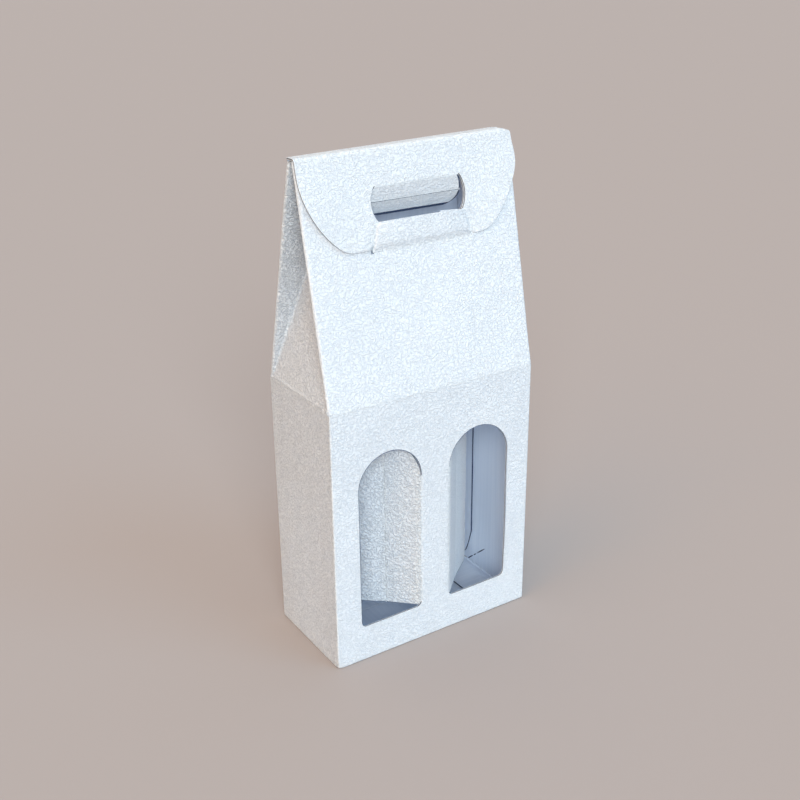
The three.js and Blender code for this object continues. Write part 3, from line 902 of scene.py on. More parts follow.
front_top = (HEIGHT - BOARD - LAY - SHOULDER) / math.cos(FRONT_LEAN)
SLOTTED_MIDDLE = -46.0  # a point from which the hole and the slot can both be seen
front_hole = slotted_hole_loop(HANDLE_SHIFT, FRONT_GABLE)
front_centre = (HANDLE_SHIFT, FRONT_GABLE + SLOTTED_MIDDLE)
front_shoulder = [((0, 1), 0, FRONT_LEAN)]
gable(
    "front_gable_board", "front_gable", front_gable_frame, front_hole, front_centre, front_top,
    front_shoulder, 8,
)
back_fold = math.pi / 2 - BACK_LEAN
back_top = BACK_GABLE - BOARD * math.tan(back_fold / 2)
back_hole = hole_loop(-HANDLE_SHIFT, BACK_GABLE)
back_centre = (-HANDLE_SHIFT, BACK_GABLE + hole_middle)
back_shoulder = [((0, 1), 0, BACK_LEAN)]
gable("back_gable_board", "back_gable", back_gable_frame, back_hole, back_centre, back_top, back_shoulder, 9)

# %% [markdown]
# ## Creases between turning panels
#
# Where a panel turns on its own body, the crease is a separate strip between the two panels, shaped for their
# rest pose.
# Its cross-section is a slice of a circle: the point is the inner corner of the fold, and the radius is the
# board.

# %% A strip that bends
STRIP_CELL = 6.0


def crease_strip(name, bodies, outer_line, inner_line, direction, span, start, end, dark=None):
    """A closed strip: two lines of points, carried along a straight direction. The span's ends are one
    height or one for each point of the line."""
    direction = np.array(direction, float)
    low, high = (np.broadcast_to(np.asarray(value, float), len(outer_line))[:, None] for value in span)
    places = low + (high - low) * np.linspace(0, 1, max(2, int((high - low).max() / STRIP_CELL)) + 1)
    outer = outer_line[:, None] + places[..., None] * direction
    inner = inner_line[:, None] + places[..., None] * direction
    flat = np.stack(np.broadcast_arrays(places, np.arange(len(outer_line))[:, None] * 0.2), -1)
    points, faces, kinds, uvs = sheet_parts(outer, inner, flat, False)
    # Rows given as dark are painted as shade in the crease.
    if dark is not None:
        kinds[: (flat.shape[0] - 1) * (flat.shape[1] - 1)].reshape(flat.shape[0] - 1, -1)[dark] = SHADED_RIM
    piece = make_mesh(name, points, faces, kinds, uvs)
    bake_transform(piece)
    print(name, "bends between", *bodies)
    return piece


def slice_lines(matrix, v, w, first, last, radius=BOARD, steps=12):
    """Outer arc about the point at height v and depth w of a frame, and the inner arc one board inside it."""
    turn = np.linspace(first, last, steps + 1)
    flat = np.stack([np.zeros_like(turn), v + radius * np.sin(turn)], -1)
    outer = place(matrix, flat, w + radius * np.cos(turn))
    point = place(matrix, np.array([[0.0, v]]), np.array([w]))
    return outer, point + (outer - point) * max(0.02, 1 - BOARD / radius)


# %% [markdown]
# ## Ridge
#
# The ridge is a 10 mm strip on top. It folds down by 75 degrees to the back gable and by 78 degrees to the
# closing flap.

# %% Ridge strip and its two creases
front_fold = math.pi / 2 - FRONT_LEAN
RIDGE_RADIUS = 3.2
back_reach, front_fold_reach = BOARD * math.tan(back_fold / 2), RIDGE_RADIUS * math.tan(front_fold / 2)
ridge_rows = np.linspace(RIDGE_FRONT + front_fold_reach, RIDGE_BACK - back_reach, 6)
make_board("ridge_board", "ridge", ["ridge_strip"], ridge_frame, band(crowded(-HALF, HALF, 5), ridge_rows))
lines = slice_lines(ridge_frame, RIDGE_BACK - back_reach, -BOARD, back_fold, 0)
crease_strip(
    "ridge_back_crease", ("carton", "ridge"), *lines, (1, 0, 0), (-HALF, HALF), lines[0][0], lines[0][-1]
)
lines = slice_lines(ridge_frame, RIDGE_FRONT + front_fold_reach, -RIDGE_RADIUS, 0, -front_fold, RIDGE_RADIUS)
crease_strip(
    "ridge_front_crease", ("ridge", "flap"), *lines, (1, 0, 0), (-HALF, HALF), lines[0][0], lines[0][-1]
)

# %% [markdown]
# ## Closing flap
#
# The flap folds down from the ridge over the front gable. Its sides sweep in along a wide arc to rounded
# lower corners, and the handle hole goes through it.
# A flap that has been opened and closed springs a little off the gable at its free sides, and the right one
# is drawn out into a slight bulge.

# %% Closing flap
FLAP_LENGTH, SIDE_LENGTH, SIDE_RADIUS, SIDE_TURN, CORNER_RADIUS = 69.0, 11.5, 69.0, 50.0, 20.0


def flap_loop(inset=0.0):
    """The closing flap against the clock: wide arc on the left, corner arc, straight bottom, and the same
    on the right."""
    turn = math.radians(SIDE_TURN)
    wide = SIDE_RADIUS - inset
    corner = CORNER_RADIUS - inset
    wide_x = HALF - SIDE_RADIUS
    tight_x = wide_x + (SIDE_RADIUS - CORNER_RADIUS) * math.cos(turn)
    tight_y = -FLAP_LENGTH + CORNER_RADIUS
    top = -front_fold_reach - inset
    lower = arc((tight_x, tight_y), corner, -90, -SIDE_TURN, 16)
    upper = arc((wide_x, -SIDE_LENGTH), wide, -SIDE_TURN, 0, 32)
    right = np.concatenate([lower, upper])
    left = right[::-1] * np.array([-1.0, 1.0])
    return np.concatenate([right, [(HALF - inset, top), (inset - HALF, top)], left])


ROOT_STEP, ROOT_REACH, TONGUE_RISE, TONGUE_REACH = 1.6, 6.5, 2.2, 20.4
SIDE_SPRING, SPRING_START, SPRING_REACH, SPRING_LENGTH = 1.5, 46.0, 40.0, 45.0
PRESSED_HALF, PRESSED_FADE, PRESSED_TOP, PRESSED_REACH = 45.5, 4.0, 9.0, 8.0
PRESSED_GAP = 0.12  # between the flap and the tongue over it
RIGHT_BULGE, BULGE_START, BULGE_HEIGHT, BULGE_REACH = 2.4, 70.0, -26.0, 12.0


def tongue_step(up):
    """How far the lock tongue's face stands out from the gable's: a step of 1.6 mm at its root, then 2.2 mm
    over its length."""
    return ROOT_STEP * smooth(up / ROOT_REACH) + TONGUE_RISE * np.clip(up / TONGUE_REACH, 0, 1)


def flap_lift(flat):
    """Lift off the gable: the sides spring up, and the part behind the tongue is pressed back into the
    tongue's slot."""
    u, v = flat[..., 0], flat[..., 1]
    sprung = SIDE_SPRING * smooth((np.abs(u) - SPRING_START) / SPRING_REACH) * smooth(-v / SPRING_LENGTH)
    pressed = tongue_step(v - TONGUE_ROOT) - BOARD - PRESSED_GAP - (BOARD + LAY)
    across = smooth((PRESSED_HALF - np.abs(u - HANDLE_SHIFT)) / PRESSED_FADE)
    behind = across * smooth((HOLE_BOTTOM + PRESSED_TOP - v) / PRESSED_REACH)
    return sprung * (1 - behind) + pressed * behind


flap_flat = ring_grid(
    hole_loop(HANDLE_SHIFT), [flap_loop(d) for d in (6.0, 2.0, 0.6, 0.0)], (HANDLE_SHIFT, hole_middle),
    span=2.5,
)
near_side = smooth((flap_flat[..., 0] - BULGE_START) / (HALF - BULGE_START))
near_height = np.exp(-(((flap_flat[..., 1] - BULGE_HEIGHT) / BULGE_REACH) ** 2))
flap_flat[..., 0] += RIGHT_BULGE * near_side * near_height
outer, inner = faces_of(flap_frame, flap_flat, (), flap_lift(flap_flat))
dress(make_mesh("closing_flap_board", *sheet_parts(outer, inner, flap_flat, True)), "flap", ["closing_flap"])

# %% [markdown]
# ## Handle tab
#
# The board of the handle hole isn't cut away: it hangs from the hole's upper edge and is pushed in, so that
# the fingers meet a rounded edge. It bends once more on the way.

# %% Handle tab
TAB_TOP_HALF, TAB_HALF, TAB_UPPER, TAB_LENGTH, TAB_CORNER = 35.6, 39.0, 11.5, 24.0, 9.0
TAB_TURN, TAB_BEND, TAB_GAP = math.radians(25), math.radians(15), 0.5
TAB_CUT, TOP_CLEARANCE = 0.9, 0.08
DARK_END_SHARE = 0.965  # the last column, painted dark as shade along the right end
handle_frame = along(flap_frame, HANDLE_SHIFT)
upper_frame = folded(handle_frame, HOLE_TOP, -BOARD, TAB_TURN)
lower_frame = folded(upper_frame, HOLE_TOP - TAB_UPPER, -BOARD + BOARD / 2, TAB_BEND)
crease_v = HOLE_TOP - TAB_UPPER


def tab_half(v):
    """Half width of the tab at each height: the hole's end arc less the cut, then the lower corner's
    circle."""
    from_middle = np.minimum(np.abs(v - hole_middle), hole_half_height)
    end = HOLE_HALF - hole_radius + np.sqrt(hole_radius**2 - from_middle**2) - TAB_CUT
    below = np.clip((HOLE_TOP - TAB_LENGTH + TAB_CORNER) - v, 0, TAB_CORNER)
    return np.minimum(end, TAB_HALF) - TAB_CORNER + np.sqrt(np.maximum(TAB_CORNER**2 - below**2, 0))


def tab_length(name, body, node, matrix, rows, dark_rows=0):
    """One length of the tab: columns share out the width at each height. Shade is painted dark on the face
    along the right end and the lower rows."""
    share = np.append(np.linspace(-1, DARK_END_SHARE, 40), 1.0)
    flat = shared_out(share, tab_half(rows), rows)
    points, faces, kinds, uvs = sheet_parts(*faces_of(matrix, flat), flat, False)
    face = kinds[: (len(rows) - 1) * (len(share) - 1)].reshape(len(rows) - 1, -1)
    face[:, -1] = SHADOW_LINE
    face[:dark_rows] = SHADOW_LINE
    return dress(make_mesh(name, points, faces, kinds, uvs), body, [node])


low_turn = np.linspace(QUARTER, 0, 12)
top_rows = crowded(crease_v + TAB_GAP, HOLE_TOP - TOP_CLEARANCE, 1.5, near=(0.0, 0.4))
tab_length("handle_tab_top", "tab_upper", "handle_tab_upper", upper_frame, top_rows)
corner_rows = HOLE_TOP - TAB_LENGTH + TAB_CORNER - TAB_CORNER * np.sin(low_turn)
bottom_rows = np.append(corner_rows, [crease_v - 2.0, crease_v - TAB_GAP])
tab_length("handle_tab_bottom", "tab_lower", "handle_tab_lower", lower_frame, bottom_rows, 5)
lines = slice_lines(handle_frame, HOLE_TOP, -BOARD, 0, -TAB_TURN)
tab_span = (-TAB_TOP_HALF + 0.3, TAB_TOP_HALF - 0.3)
crease_strip(
    "handle_tab_fold_crease", ("flap", "tab_upper"), *lines, (1, 0, 0), tab_span, lines[0][0], lines[0][-1]
)


def bridge(matrix_a, v_a, matrix_b, v_b, w, steps=6):
    """Points from one panel's end to the next one's, along the cubic curve that leaves both in line with
    them."""
    p = place(matrix_a, np.array([[0.0, v_a]]), np.array([w]))[0]
    q = place(matrix_b, np.array([[0.0, v_b]]), np.array([w]))[0]
    run = math.copysign(np.linalg.norm(q - p), v_b - v_a)
    t = np.linspace(0, 1, steps + 1)[:, None]
    way_p, way_q = run * matrix_a[:3, 1], run * matrix_b[:3, 1]
    from_p = (2 * t**3 - 3 * t**2 + 1) * p + (t**3 - 2 * t**2 + t) * way_p
    return from_p + (3 * t**2 - 2 * t**3) * q + (t**3 - t**2) * way_q


outer_line = bridge(upper_frame, crease_v + TAB_GAP, lower_frame, crease_v - TAB_GAP, 0.0)
inner_line = bridge(upper_frame, crease_v + TAB_GAP, lower_frame, crease_v - TAB_GAP, -BOARD)
middle_half = float(tab_half(np.array([crease_v]))[0])
# Two rows in the middle of the bend are painted dark, as the shade in the crease.
crease_strip(
    "handle_tab_middle_crease", ("tab_upper", "tab_lower"), outer_line, inner_line, (1, 0, 0),
    (-middle_half, middle_half), outer_line[0], outer_line[-1], dark=slice(2, 4),
)

# %% [markdown]
# ## Lock tongue
#
# The tongue was cut from the front gable below the handle hole. It is bent out over the closing flap's
# lower edge and holds it down. Its root steps out over the flap's thickness.

# %% Lock tongue
root_v, tip_v = FRONT_GABLE + TONGUE_ROOT, FRONT_GABLE + HOLE_BOTTOM
ROOT_HALF, TIP_HALF, TIP_CORNER = 42.5, 36.5, 2.5
ROOT_CREASE = 0.9
tongue_frame = along(front_gable_frame, HANDLE_SHIFT)


def tongue_half(v):
    """Half width from root to tip, with rounded tip corners."""
    line = ROOT_HALF + (TIP_HALF - ROOT_HALF) * (v - root_v) / (tip_v - root_v)
    past = np.clip(v - (tip_v - TIP_CORNER), 0, TIP_CORNER)
    return line - TIP_CORNER + np.sqrt(np.maximum(TIP_CORNER**2 - past**2, 0))


NUBS = ((-19.5, 1.6, 0.8), (18.5, 2.4, 2.3))  # place along the tip, half width and height
SIDE_ROLL, SIDE_ROLL_REACH = 1.2, 1.1
NEAR_SIDE = (0.0, 0.004, 0.009, 0.015, 0.022, 0.032)  # shares of the half width


def tip_nubs(flat):
    """Torn bridges of board that still stand on the tip: two smooth bumps, added to the height."""
    nubs = np.zeros(flat.shape[:2])
    for at, wide, high in NUBS:
        nubs = nubs + high * np.exp(-(((flat[..., 0] - at) / wide) ** 6))
    return nubs * smooth((flat[..., 1] - tip_v + 1.5) / 1.5)


tip_turn = np.linspace(0, QUARTER, 7)
step_rows = np.linspace(root_v + ROOT_CREASE, root_v + 5, 10)
middle_rows = np.linspace(root_v + ROOT_REACH, tip_v - TIP_CORNER - 1.5, 6)
tongue_rows = np.concatenate([step_rows, middle_rows, tip_v - TIP_CORNER + TIP_CORNER * np.sin(tip_turn)])
tongue_flat = shared_out(crowded(-1, 1, 0.014, near=NEAR_SIDE), tongue_half(tongue_rows), tongue_rows)
tongue_flat[..., 1] += tip_nubs(tongue_flat)
from_side = tongue_half(tongue_rows)[:, None] - np.abs(tongue_flat[..., 0])
above_root = tongue_flat[..., 1] - root_v
rolled = SIDE_ROLL * (1 - smooth(from_side / SIDE_ROLL_REACH)) * smooth((above_root - 1.0) / 2)
outer = place(tongue_frame, tongue_flat, tongue_step(above_root) - rolled)
inner = place(tongue_frame, tongue_flat, tongue_step(above_root) - BOARD)
points, faces, kinds, uvs = sheet_parts(outer, inner, tongue_flat, False)
kinds[kinds == EDGE] = OUTER
dress(make_mesh("lock_tongue_board", points, faces, kinds, uvs), "tongue", ["lock_tongue"])
root_rows = np.linspace(root_v, root_v + ROOT_CREASE, 6)
root_flat = np.stack([np.zeros(6), root_rows], -1)
outer_line = place(tongue_frame, root_flat, tongue_step(root_rows - root_v))
inner_line = place(tongue_frame, root_flat, tongue_step(root_rows - root_v) - BOARD)
crease_strip(
    "tongue_root_crease", ("carton", "tongue"), outer_line, inner_line, (1, 0, 0),
    (-ROOT_HALF + 0.1, ROOT_HALF - 0.1), outer_line[0], outer_line[-1],
)

# %% [markdown]
# ## Gussets
#
# The side panels go on above the shoulder as gussets. Each is one sheet that folds in between the gables: a
# main panel that leans in, and a web lying against the inside of each gable.
# The three solids are one sheet, so one bent surface stands for them. Its level sections are a path with
# round corners, and the sections change evenly with height.

# %% One gusset
GUSSET_TOP = HEIGHT - BOARD - 1.4
GUSSET_FOLD = 1.8  # outside radius of the folds between the main panel and the webs
BEAD, BEAD_HEIGHT, BEAD_HALF = 0.55, 1.9, 0.9  # the pressed bead along the shoulder crease
NEAR_SHOULDER = (0.12, 0.6, 1.0, 1.5, 1.9, 2.3, 2.8, 3.4, 4.2, 6.0, 9.0, 13.0, 18.0)


def rounded_corner(before, corner, after, radius, steps):
    """Points on the arc of a circle that touches both lines at a corner, one corner for each row."""
    a, b = before - corner, after - corner
    a = a / np.maximum(np.linalg.norm(a, axis=-1, keepdims=True), 1e-9)
    b = b / np.maximum(np.linalg.norm(b, axis=-1, keepdims=True), 1e-9)
    half = np.arccos(np.clip((a * b).sum(-1), -1, 1)) / 2
    reach = (radius / np.tan(half))[:, None]
    t = np.linspace(0, 1, steps)[None, :, None]
    p, q = (corner + a * reach)[:, None], (corner + b * reach)[:, None]
    weight = np.sin(half)[:, None, None]
    blend = (1 - t) ** 2 * p + 2 * weight * t * (1 - t) * corner[:, None] + t**2 * q
    return blend / ((1 - t) ** 2 + 2 * weight * t * (1 - t) + t**2)


def gusset_section(z):
    """Plan of the outer face at each height, for the right side: round edge, web, corner, main panel,
    corner, web, round edge."""
    up = z - SHOULDER
    front_y = -DEEP + up * math.tan(FRONT_LEAN)
    back_y = DEEP - up * math.tan(BACK_LEAN)
    main_x = HALF - up * math.tan(GUSSET_LEAN)
    room = np.minimum(1.0, (HALF - main_x) / (3 * TURN_RADIUS))
    turn = TURN_RADIUS * room
    stack_front, stack_back = STACK / math.cos(FRONT_LEAN), STACK / math.cos(BACK_LEAN)
    radius = np.minimum(GUSSET_FOLD, 0.3 * (HALF - main_x) + 0.02)
    angle = np.linspace(0, QUARTER, 7)
    edge_x = HALF - turn[:, None] * (1 - np.cos(angle))
    front_bulge, back_bulge = (stack / 2 * np.sin(angle) for stack in (stack_front, stack_back))
    edge_front = np.stack([edge_x, (front_y + stack_front / 2)[:, None] + front_bulge], -1)
    edge_back = np.stack([edge_x, (back_y - stack_back / 2)[:, None] - back_bulge], -1)
    front_corner = np.stack([main_x, front_y + stack_front], -1)
    back_corner = np.stack([main_x, back_y - stack_back], -1)
    arc_front = rounded_corner(edge_front[:, -1], front_corner, back_corner, radius, 7)
    arc_back = rounded_corner(front_corner, back_corner, edge_back[:, -1], radius, 7)
    share = np.linspace(0, 1, 9)[1:-1][None, :, None]
    web_front = edge_front[:, -1:] * (1 - share) + arc_front[:, :1] * share
    main_share = np.linspace(0, 1, 15)[1:-1][None, :, None]
    main = arc_front[:, -1:] * (1 - main_share) + arc_back[:, :1] * main_share
    web_back = arc_back[:, -1:] * (1 - share) + edge_back[:, -1:] * share
    return np.concatenate([edge_front, web_front, arc_front, main, arc_back, web_back, edge_back[:, ::-1]], 1)


def grid_normals(grid):
    """Unit normals of a grid of points: the cross product of its two directions."""
    normal = np.cross(np.gradient(grid, axis=1), np.gradient(grid, axis=0))
    return normal / np.maximum(np.linalg.norm(normal, axis=-1, keepdims=True), 1e-12)


def gusset(name, side, nodes):
    """The bent sheet: sections at each height, and the inner face a board's thickness behind along the
    normals."""
    z = np.concatenate([SHOULDER + np.array(NEAR_SHOULDER), np.linspace(SHOULDER + 24, GUSSET_TOP, 30)])
    plan = gusset_section(z)
    grid = np.concatenate([plan, np.broadcast_to(z[:, None, None], plan.shape[:2] + (1,))], -1)
    normal = grid_normals(grid)
    if normal[len(z) // 2, plan.shape[1] // 2, 0] < 0:
        normal = -normal
    flat = np.stack([grid[..., 1], grid[..., 2]], -1)
    mirror = np.array([side, 1.0, 1.0])
    bead = BEAD * np.exp(-(((z - SHOULDER - BEAD_HEIGHT) / BEAD_HALF) ** 2))[:, None, None]
    outer, inner = (grid + normal * bead) * mirror, (grid - normal * BOARD) * mirror
    inner[0] = outer[0] - np.array([side * BOARD, 0, 0])
    return dress(make_mesh(name, *sheet_parts(outer, inner, flat, False)), "carton", nodes)


for word, side in (("left", -1.0), ("right", 1.0)):
    gusset(
        f"{word}_gusset_board", side,
        [f"{word}_gusset", f"{word}_gusset_front_web", f"{word}_gusset_back_web"],
    )

# %% [markdown]
# ## Window flaps
#
# The board cut from each window is pushed in and keeps hanging on its inner jamb. It divides the two
# bottles. A crease down its middle bends it once.
# Each half is a band of upright lines: for every distance from the hinge, the flap runs from its rounded
# sill corner to its arch.

# %% Window flaps
FLAP_INNER, FLAP_WIDTH, CUT = 27.5, 54.6, 0.4
CREASE_HALF, CREASE_PRESSED = 0.6, 0.35


def flap_bottom(s):
    """Height of the lower edge at a distance from the hinge, with a small round corner at each end."""
    corner = SILL_CORNER - CUT
    near = np.clip(corner + CUT - s, 0, corner)
    end = np.clip(s - (FLAP_WIDTH - corner), 0, corner)
    return SILL + CUT + 2 * corner - np.sqrt(corner**2 - near**2) - np.sqrt(corner**2 - end**2)


def flap_top(s):
    """Height of the arch at a distance from the hinge."""
    radius = WINDOW_RADIUS - CUT
    return SPRINGING + np.sqrt(np.maximum(radius**2 - (s - WINDOW_RADIUS) ** 2, 0))


def flap_plan(side, bent):
    """Frames of the two halves at rest: u away from the hinge, v up and w out of the embossed face."""
    turn = FLAP_TURN + (FLAP_BEND if bent else 0.0)
    u = np.array([side * math.cos(turn), math.sin(turn), 0.0])
    hinge = np.array([side * WINDOW_LEFT, -DEEP + BOARD, 0.0])
    if bent:
        first_u = np.array([side * math.cos(FLAP_TURN), math.sin(FLAP_TURN), 0.0])
        hinge = hinge + FLAP_INNER * first_u - FLAP_INNER * u
    matrix = panel_frame(hinge, u, (0, 0, 1))
    if side < 0:
        matrix[:3, 2] *= -1
    return matrix


def flap_half(name, body, node, side, bent, places, seed):
    """Half of a window flap as a band of upright lines, its outer face one board out from the pivot line."""
    matrix = flap_plan(side, bent)
    low, high = flap_bottom(places), flap_top(places)
    up = crowded(0, 1, 0.04, near=(0.0, 0.004, 0.012))
    heights = low[:, None] + (high - low)[:, None] * up
    flat = np.stack([np.broadcast_to(places[:, None], heights.shape), heights], -1)
    calm = smooth(np.abs(places - FLAP_INNER) / 12)[:, None] * smooth(places / 12)[:, None]
    lift = BOARD + waves(flat, seed, 0.25) * calm
    outer, inner = place(matrix, flat, lift), place(matrix, flat, lift - BOARD)
    points, faces, kinds, uvs = sheet_parts(outer, inner, flat, False)
    # The lowest row along the flap's edge is painted dark, as the shade under the cut.
    kinds[: (len(places) - 1) * (len(up) - 1)].reshape(len(places) - 1, -1)[:, 0] = SHADED_RIM
    return dress(make_mesh(name, points, faces, kinds, uvs), body, [node])


def window_hinge(name, body, side):
    """The strip from the front wall's soft roll to the flap: the rest of the circle outside, the pivot line
    inside."""
    matrix = flap_plan(side, False)
    first = math.asin(HINGE_TOUCH / SOFT_RADIUS)
    turn = np.linspace(first, FLAP_TURN, 8)
    x = WINDOW_LEFT - HINGE_TOUCH + SOFT_RADIUS * np.sin(turn)
    y = -DEEP + SOFT_RADIUS - SOFT_RADIUS * np.cos(turn)
    outer_line = np.stack([side * x, y, 0 * x], -1)
    pivot = matrix[:3, 3]
    inner_line = pivot + np.linspace(0, HINGE_TOUCH, 8)[:, None] * matrix[:3, 0]
    high = np.array([0, 0, 100.0])
    across = np.linspace(0, HINGE_TOUCH, 8)
    span = (flap_bottom(across), flap_top(across))
    start, end = outer_line[0] + high, outer_line[-1] + high
    crease_strip(name, ("carton", body), outer_line, inner_line, (0, 0, 1), span, start, end)


def window_crease(name, bodies, side):
    """The strip between a flap's two halves, along its upright crease."""
    first, second = flap_plan(side, False), flap_plan(side, True)
    lines = []
    for w in (BOARD, 0.0):
        p = place(first, np.array([[FLAP_INNER - CREASE_HALF, 0.0]]), np.array([w]))[0]
        q = place(second, np.array([[FLAP_INNER + CREASE_HALF, 0.0]]), np.array([w]))[0]
        middle = place(first, np.array([[FLAP_INNER, 0.0]]), np.array([w]))[0]
        t = np.linspace(0, 1, 13)[:, None]
        pressed = CREASE_PRESSED * np.exp(-(((t - 0.5) / 0.16) ** 2)) if w > 0 else 0.0 * t
        lines.append((1 - t) ** 2 * p + 2 * t * (1 - t) * middle + t**2 * q - pressed * first[:3, 2])
    span = (SILL + CUT, WINDOW_TOP - CUT)
    crease_strip(name, bodies, *lines, (0, 0, 1), span, lines[0][0], lines[0][-1])


quarter_steps = np.linspace(0, QUARTER, 22)
near_places = HINGE_TOUCH + (FLAP_INNER - CREASE_HALF - HINGE_TOUCH) * (1 - np.cos(quarter_steps))
far_places = FLAP_INNER + CREASE_HALF + (FLAP_WIDTH - FLAP_INNER - CREASE_HALF) * np.sin(quarter_steps)
for word, side in (("left", -1.0), ("right", 1.0)):
    near_body, far_body = f"{word}_flap_inner", f"{word}_flap_outer"
    near_node, far_node = f"{word}_window_flap_inner", f"{word}_window_flap_outer"
    flap_half(f"{word}_window_flap_near", near_body, near_node, side, False, near_places, 21 + int(side))
    flap_half(f"{word}_window_flap_far", far_body, far_node, side, True, far_places, 25 + int(side))
    window_hinge(f"{word}_window_hinge_crease", near_body, side)
    window_crease(f"{word}_window_flap_crease", (near_body, far_body), side)

# %% [markdown]
# ## Bottom
#
# Two long flaps close the bottom and hook into each other. Two shorter side flaps lie on them and make the
# floor that shows through the windows.
# Close to its wall a side flap comes down to its crease, and the long flaps are cut back under it.

# %% Long bottom flaps
HOOK_LEFT, HOOK_RIGHT = 11.85, -12.15
HOOK_HALF = 8.0  # the slope between the two levels runs this far either way
LONG_HALF = 87.9


def hook_line(x):
    """Where the front flap ends: level, then a slope over 16 mm, then level again."""
    return HOOK_LEFT + (HOOK_RIGHT - HOOK_LEFT) * np.clip((x + HOOK_HALF) / (2 * HOOK_HALF), 0, 1)


def long_flap(name, node, side):
    """A band of lines from the wall's crease to the hooked edge. The back flap is the front one turned half
    round."""
    side_x = np.linspace(HOOK_HALF, LONG_HALF, 24)
    x = np.concatenate([-side_x[::-1], np.linspace(-6, 6, 5), side_x])
    share = crowded(0, 1, 0.08, near=(0.0, 0.003, 0.008, 0.02))
    start = DEEP - corner_end
    y = start - share[:, None] * (start + hook_line(x))
    flat = np.stack([np.broadcast_to(x, y.shape), y], -1)
    matrix = base_frame @ np.diag([side, side, 1.0, 1.0])
    return make_board(name, "carton", [node], matrix, flat, [((0, -1), -DEEP, QUARTER)])


long_flap("front_bottom_board", "front_bottom_flap", 1.0)
long_flap("back_bottom_board", "back_bottom_flap", -1.0)

# %% Side bottom flaps
SIDE_REACH, SIDE_HALF, SIDE_CORNER = 36.0, 32.0, 6.0
SIDE_CLIMB, CLIMB_START, CLIMB_REACH = 1.8, 1.5, 10.0
FLOOR_BEAD, FLOOR_BEAD_PLACE, FLOOR_BEAD_HALF = 0.9, 2.6, 0.8
NEAR_WALL = (0.0, 0.3, 0.7, 1.1, 1.5, 1.9, 2.3, 2.6, 2.9, 3.3, 3.8, 4.4)


def side_flap(name, node, side):
    """A band from the wall's crease inwards, with a pressed bead along the crease. It rises by one board in
    its first 10 mm and then lies on the long flaps."""
    reach = crowded(corner_end, SIDE_REACH, 1.5, near=NEAR_WALL)
    corner = np.clip(reach - (SIDE_REACH - SIDE_CORNER), 0, SIDE_CORNER)
    half = SIDE_HALF - SIDE_CORNER + np.sqrt(SIDE_CORNER**2 - corner**2)
    flat = shared_out(np.linspace(-1, 1, 21), half, reach)
    matrix = panel_frame((side * HALF, 0, 0), (0, -side, 0), (-side, 0, 0))
    matrix[:3, 2] = (0, 0, -1)
    climb = -SIDE_CLIMB * smooth((flat[..., 1] - CLIMB_START) / CLIMB_REACH)
    outer, inner = faces_of(matrix, flat, [((0, 1), 0, QUARTER)], climb)
    inner[..., 2] += FLOOR_BEAD * np.exp(-(((flat[..., 1] - FLOOR_BEAD_PLACE) / FLOOR_BEAD_HALF) ** 2))
    points, faces, kinds, uvs = sheet_parts(outer, inner, flat, False)
    # The cut edges are painted as the dark shadow line in the gap beside the flap.
    kinds[kinds == EDGE] = SHADOW_LINE
    return dress(make_mesh(name, points, faces, kinds, uvs), "carton", [node])


side_flap("left_bottom_board", "left_bottom_flap", -1.0)
side_flap("right_bottom_board", "right_bottom_flap", 1.0)

# %% [markdown]
# ## Glue flap
#
# The sheet's seam is a flap glued inside the right wall along the back edge. Its slanted lower end shows
# through the right window.

# %% Glue flap
GLUE_START, GLUE_WIDTH = 43.2, 18.0
GLUE_LOW, GLUE_SLANT, LEVEL_SHARE = 7.3, 25.0, 0.45
GLUE_HIGH, GLUE_TOP_SLANT = 208.0, 14.0
GLUE_FILM = 0.02
glue_columns = np.concatenate([np.linspace(0, LEVEL_SHARE, 4), np.linspace(0.5, 1, 14)])
slant_low = GLUE_LOW + GLUE_SLANT * np.clip((glue_columns - LEVEL_SHARE) / (1 - LEVEL_SHARE), 0, 1) ** 1.6
slant_high = GLUE_HIGH - GLUE_TOP_SLANT * glue_columns
glue_heights = slant_low + np.linspace(0, 1, 40)[:, None] * (slant_high - slant_low)
glue_reach = np.broadcast_to(GLUE_START - GLUE_WIDTH * glue_columns, glue_heights.shape)
glue_flat = np.stack([glue_reach, glue_heights], -1)
outer, inner = faces_of(right_frame, glue_flat, (), -BOARD - GLUE_FILM)
points, faces, kinds, uvs = sheet_parts(outer, inner, glue_flat, False)
# The cut edges are painted as the dark shadow line where the flap's edge stands off the wall.
kinds[kinds == EDGE] = SHADOW_LINE
dress(make_mesh("glue_flap_board", points, faces, kinds, uvs), "carton", ["glue_flap"])

# %% [markdown]
# ## Slits in the right wall
#
# Low on the inside of the right wall there are three short slits in a row, probably left by stray knives of
# the die. The shade in each slit is painted as a dark sliver, flush with the liner.

# %% Slits
right_creases = wall_creases(DEEP, GUSSET_LEAN)
SLITS = (((31, 1.0), (22.8, 8.0)), ((22, 8.7), (18.6, 11.6)), ((17.8, 12.4), (6.4, 22.5)))
PROUD, SUNK_IN = 0.08, 0.2


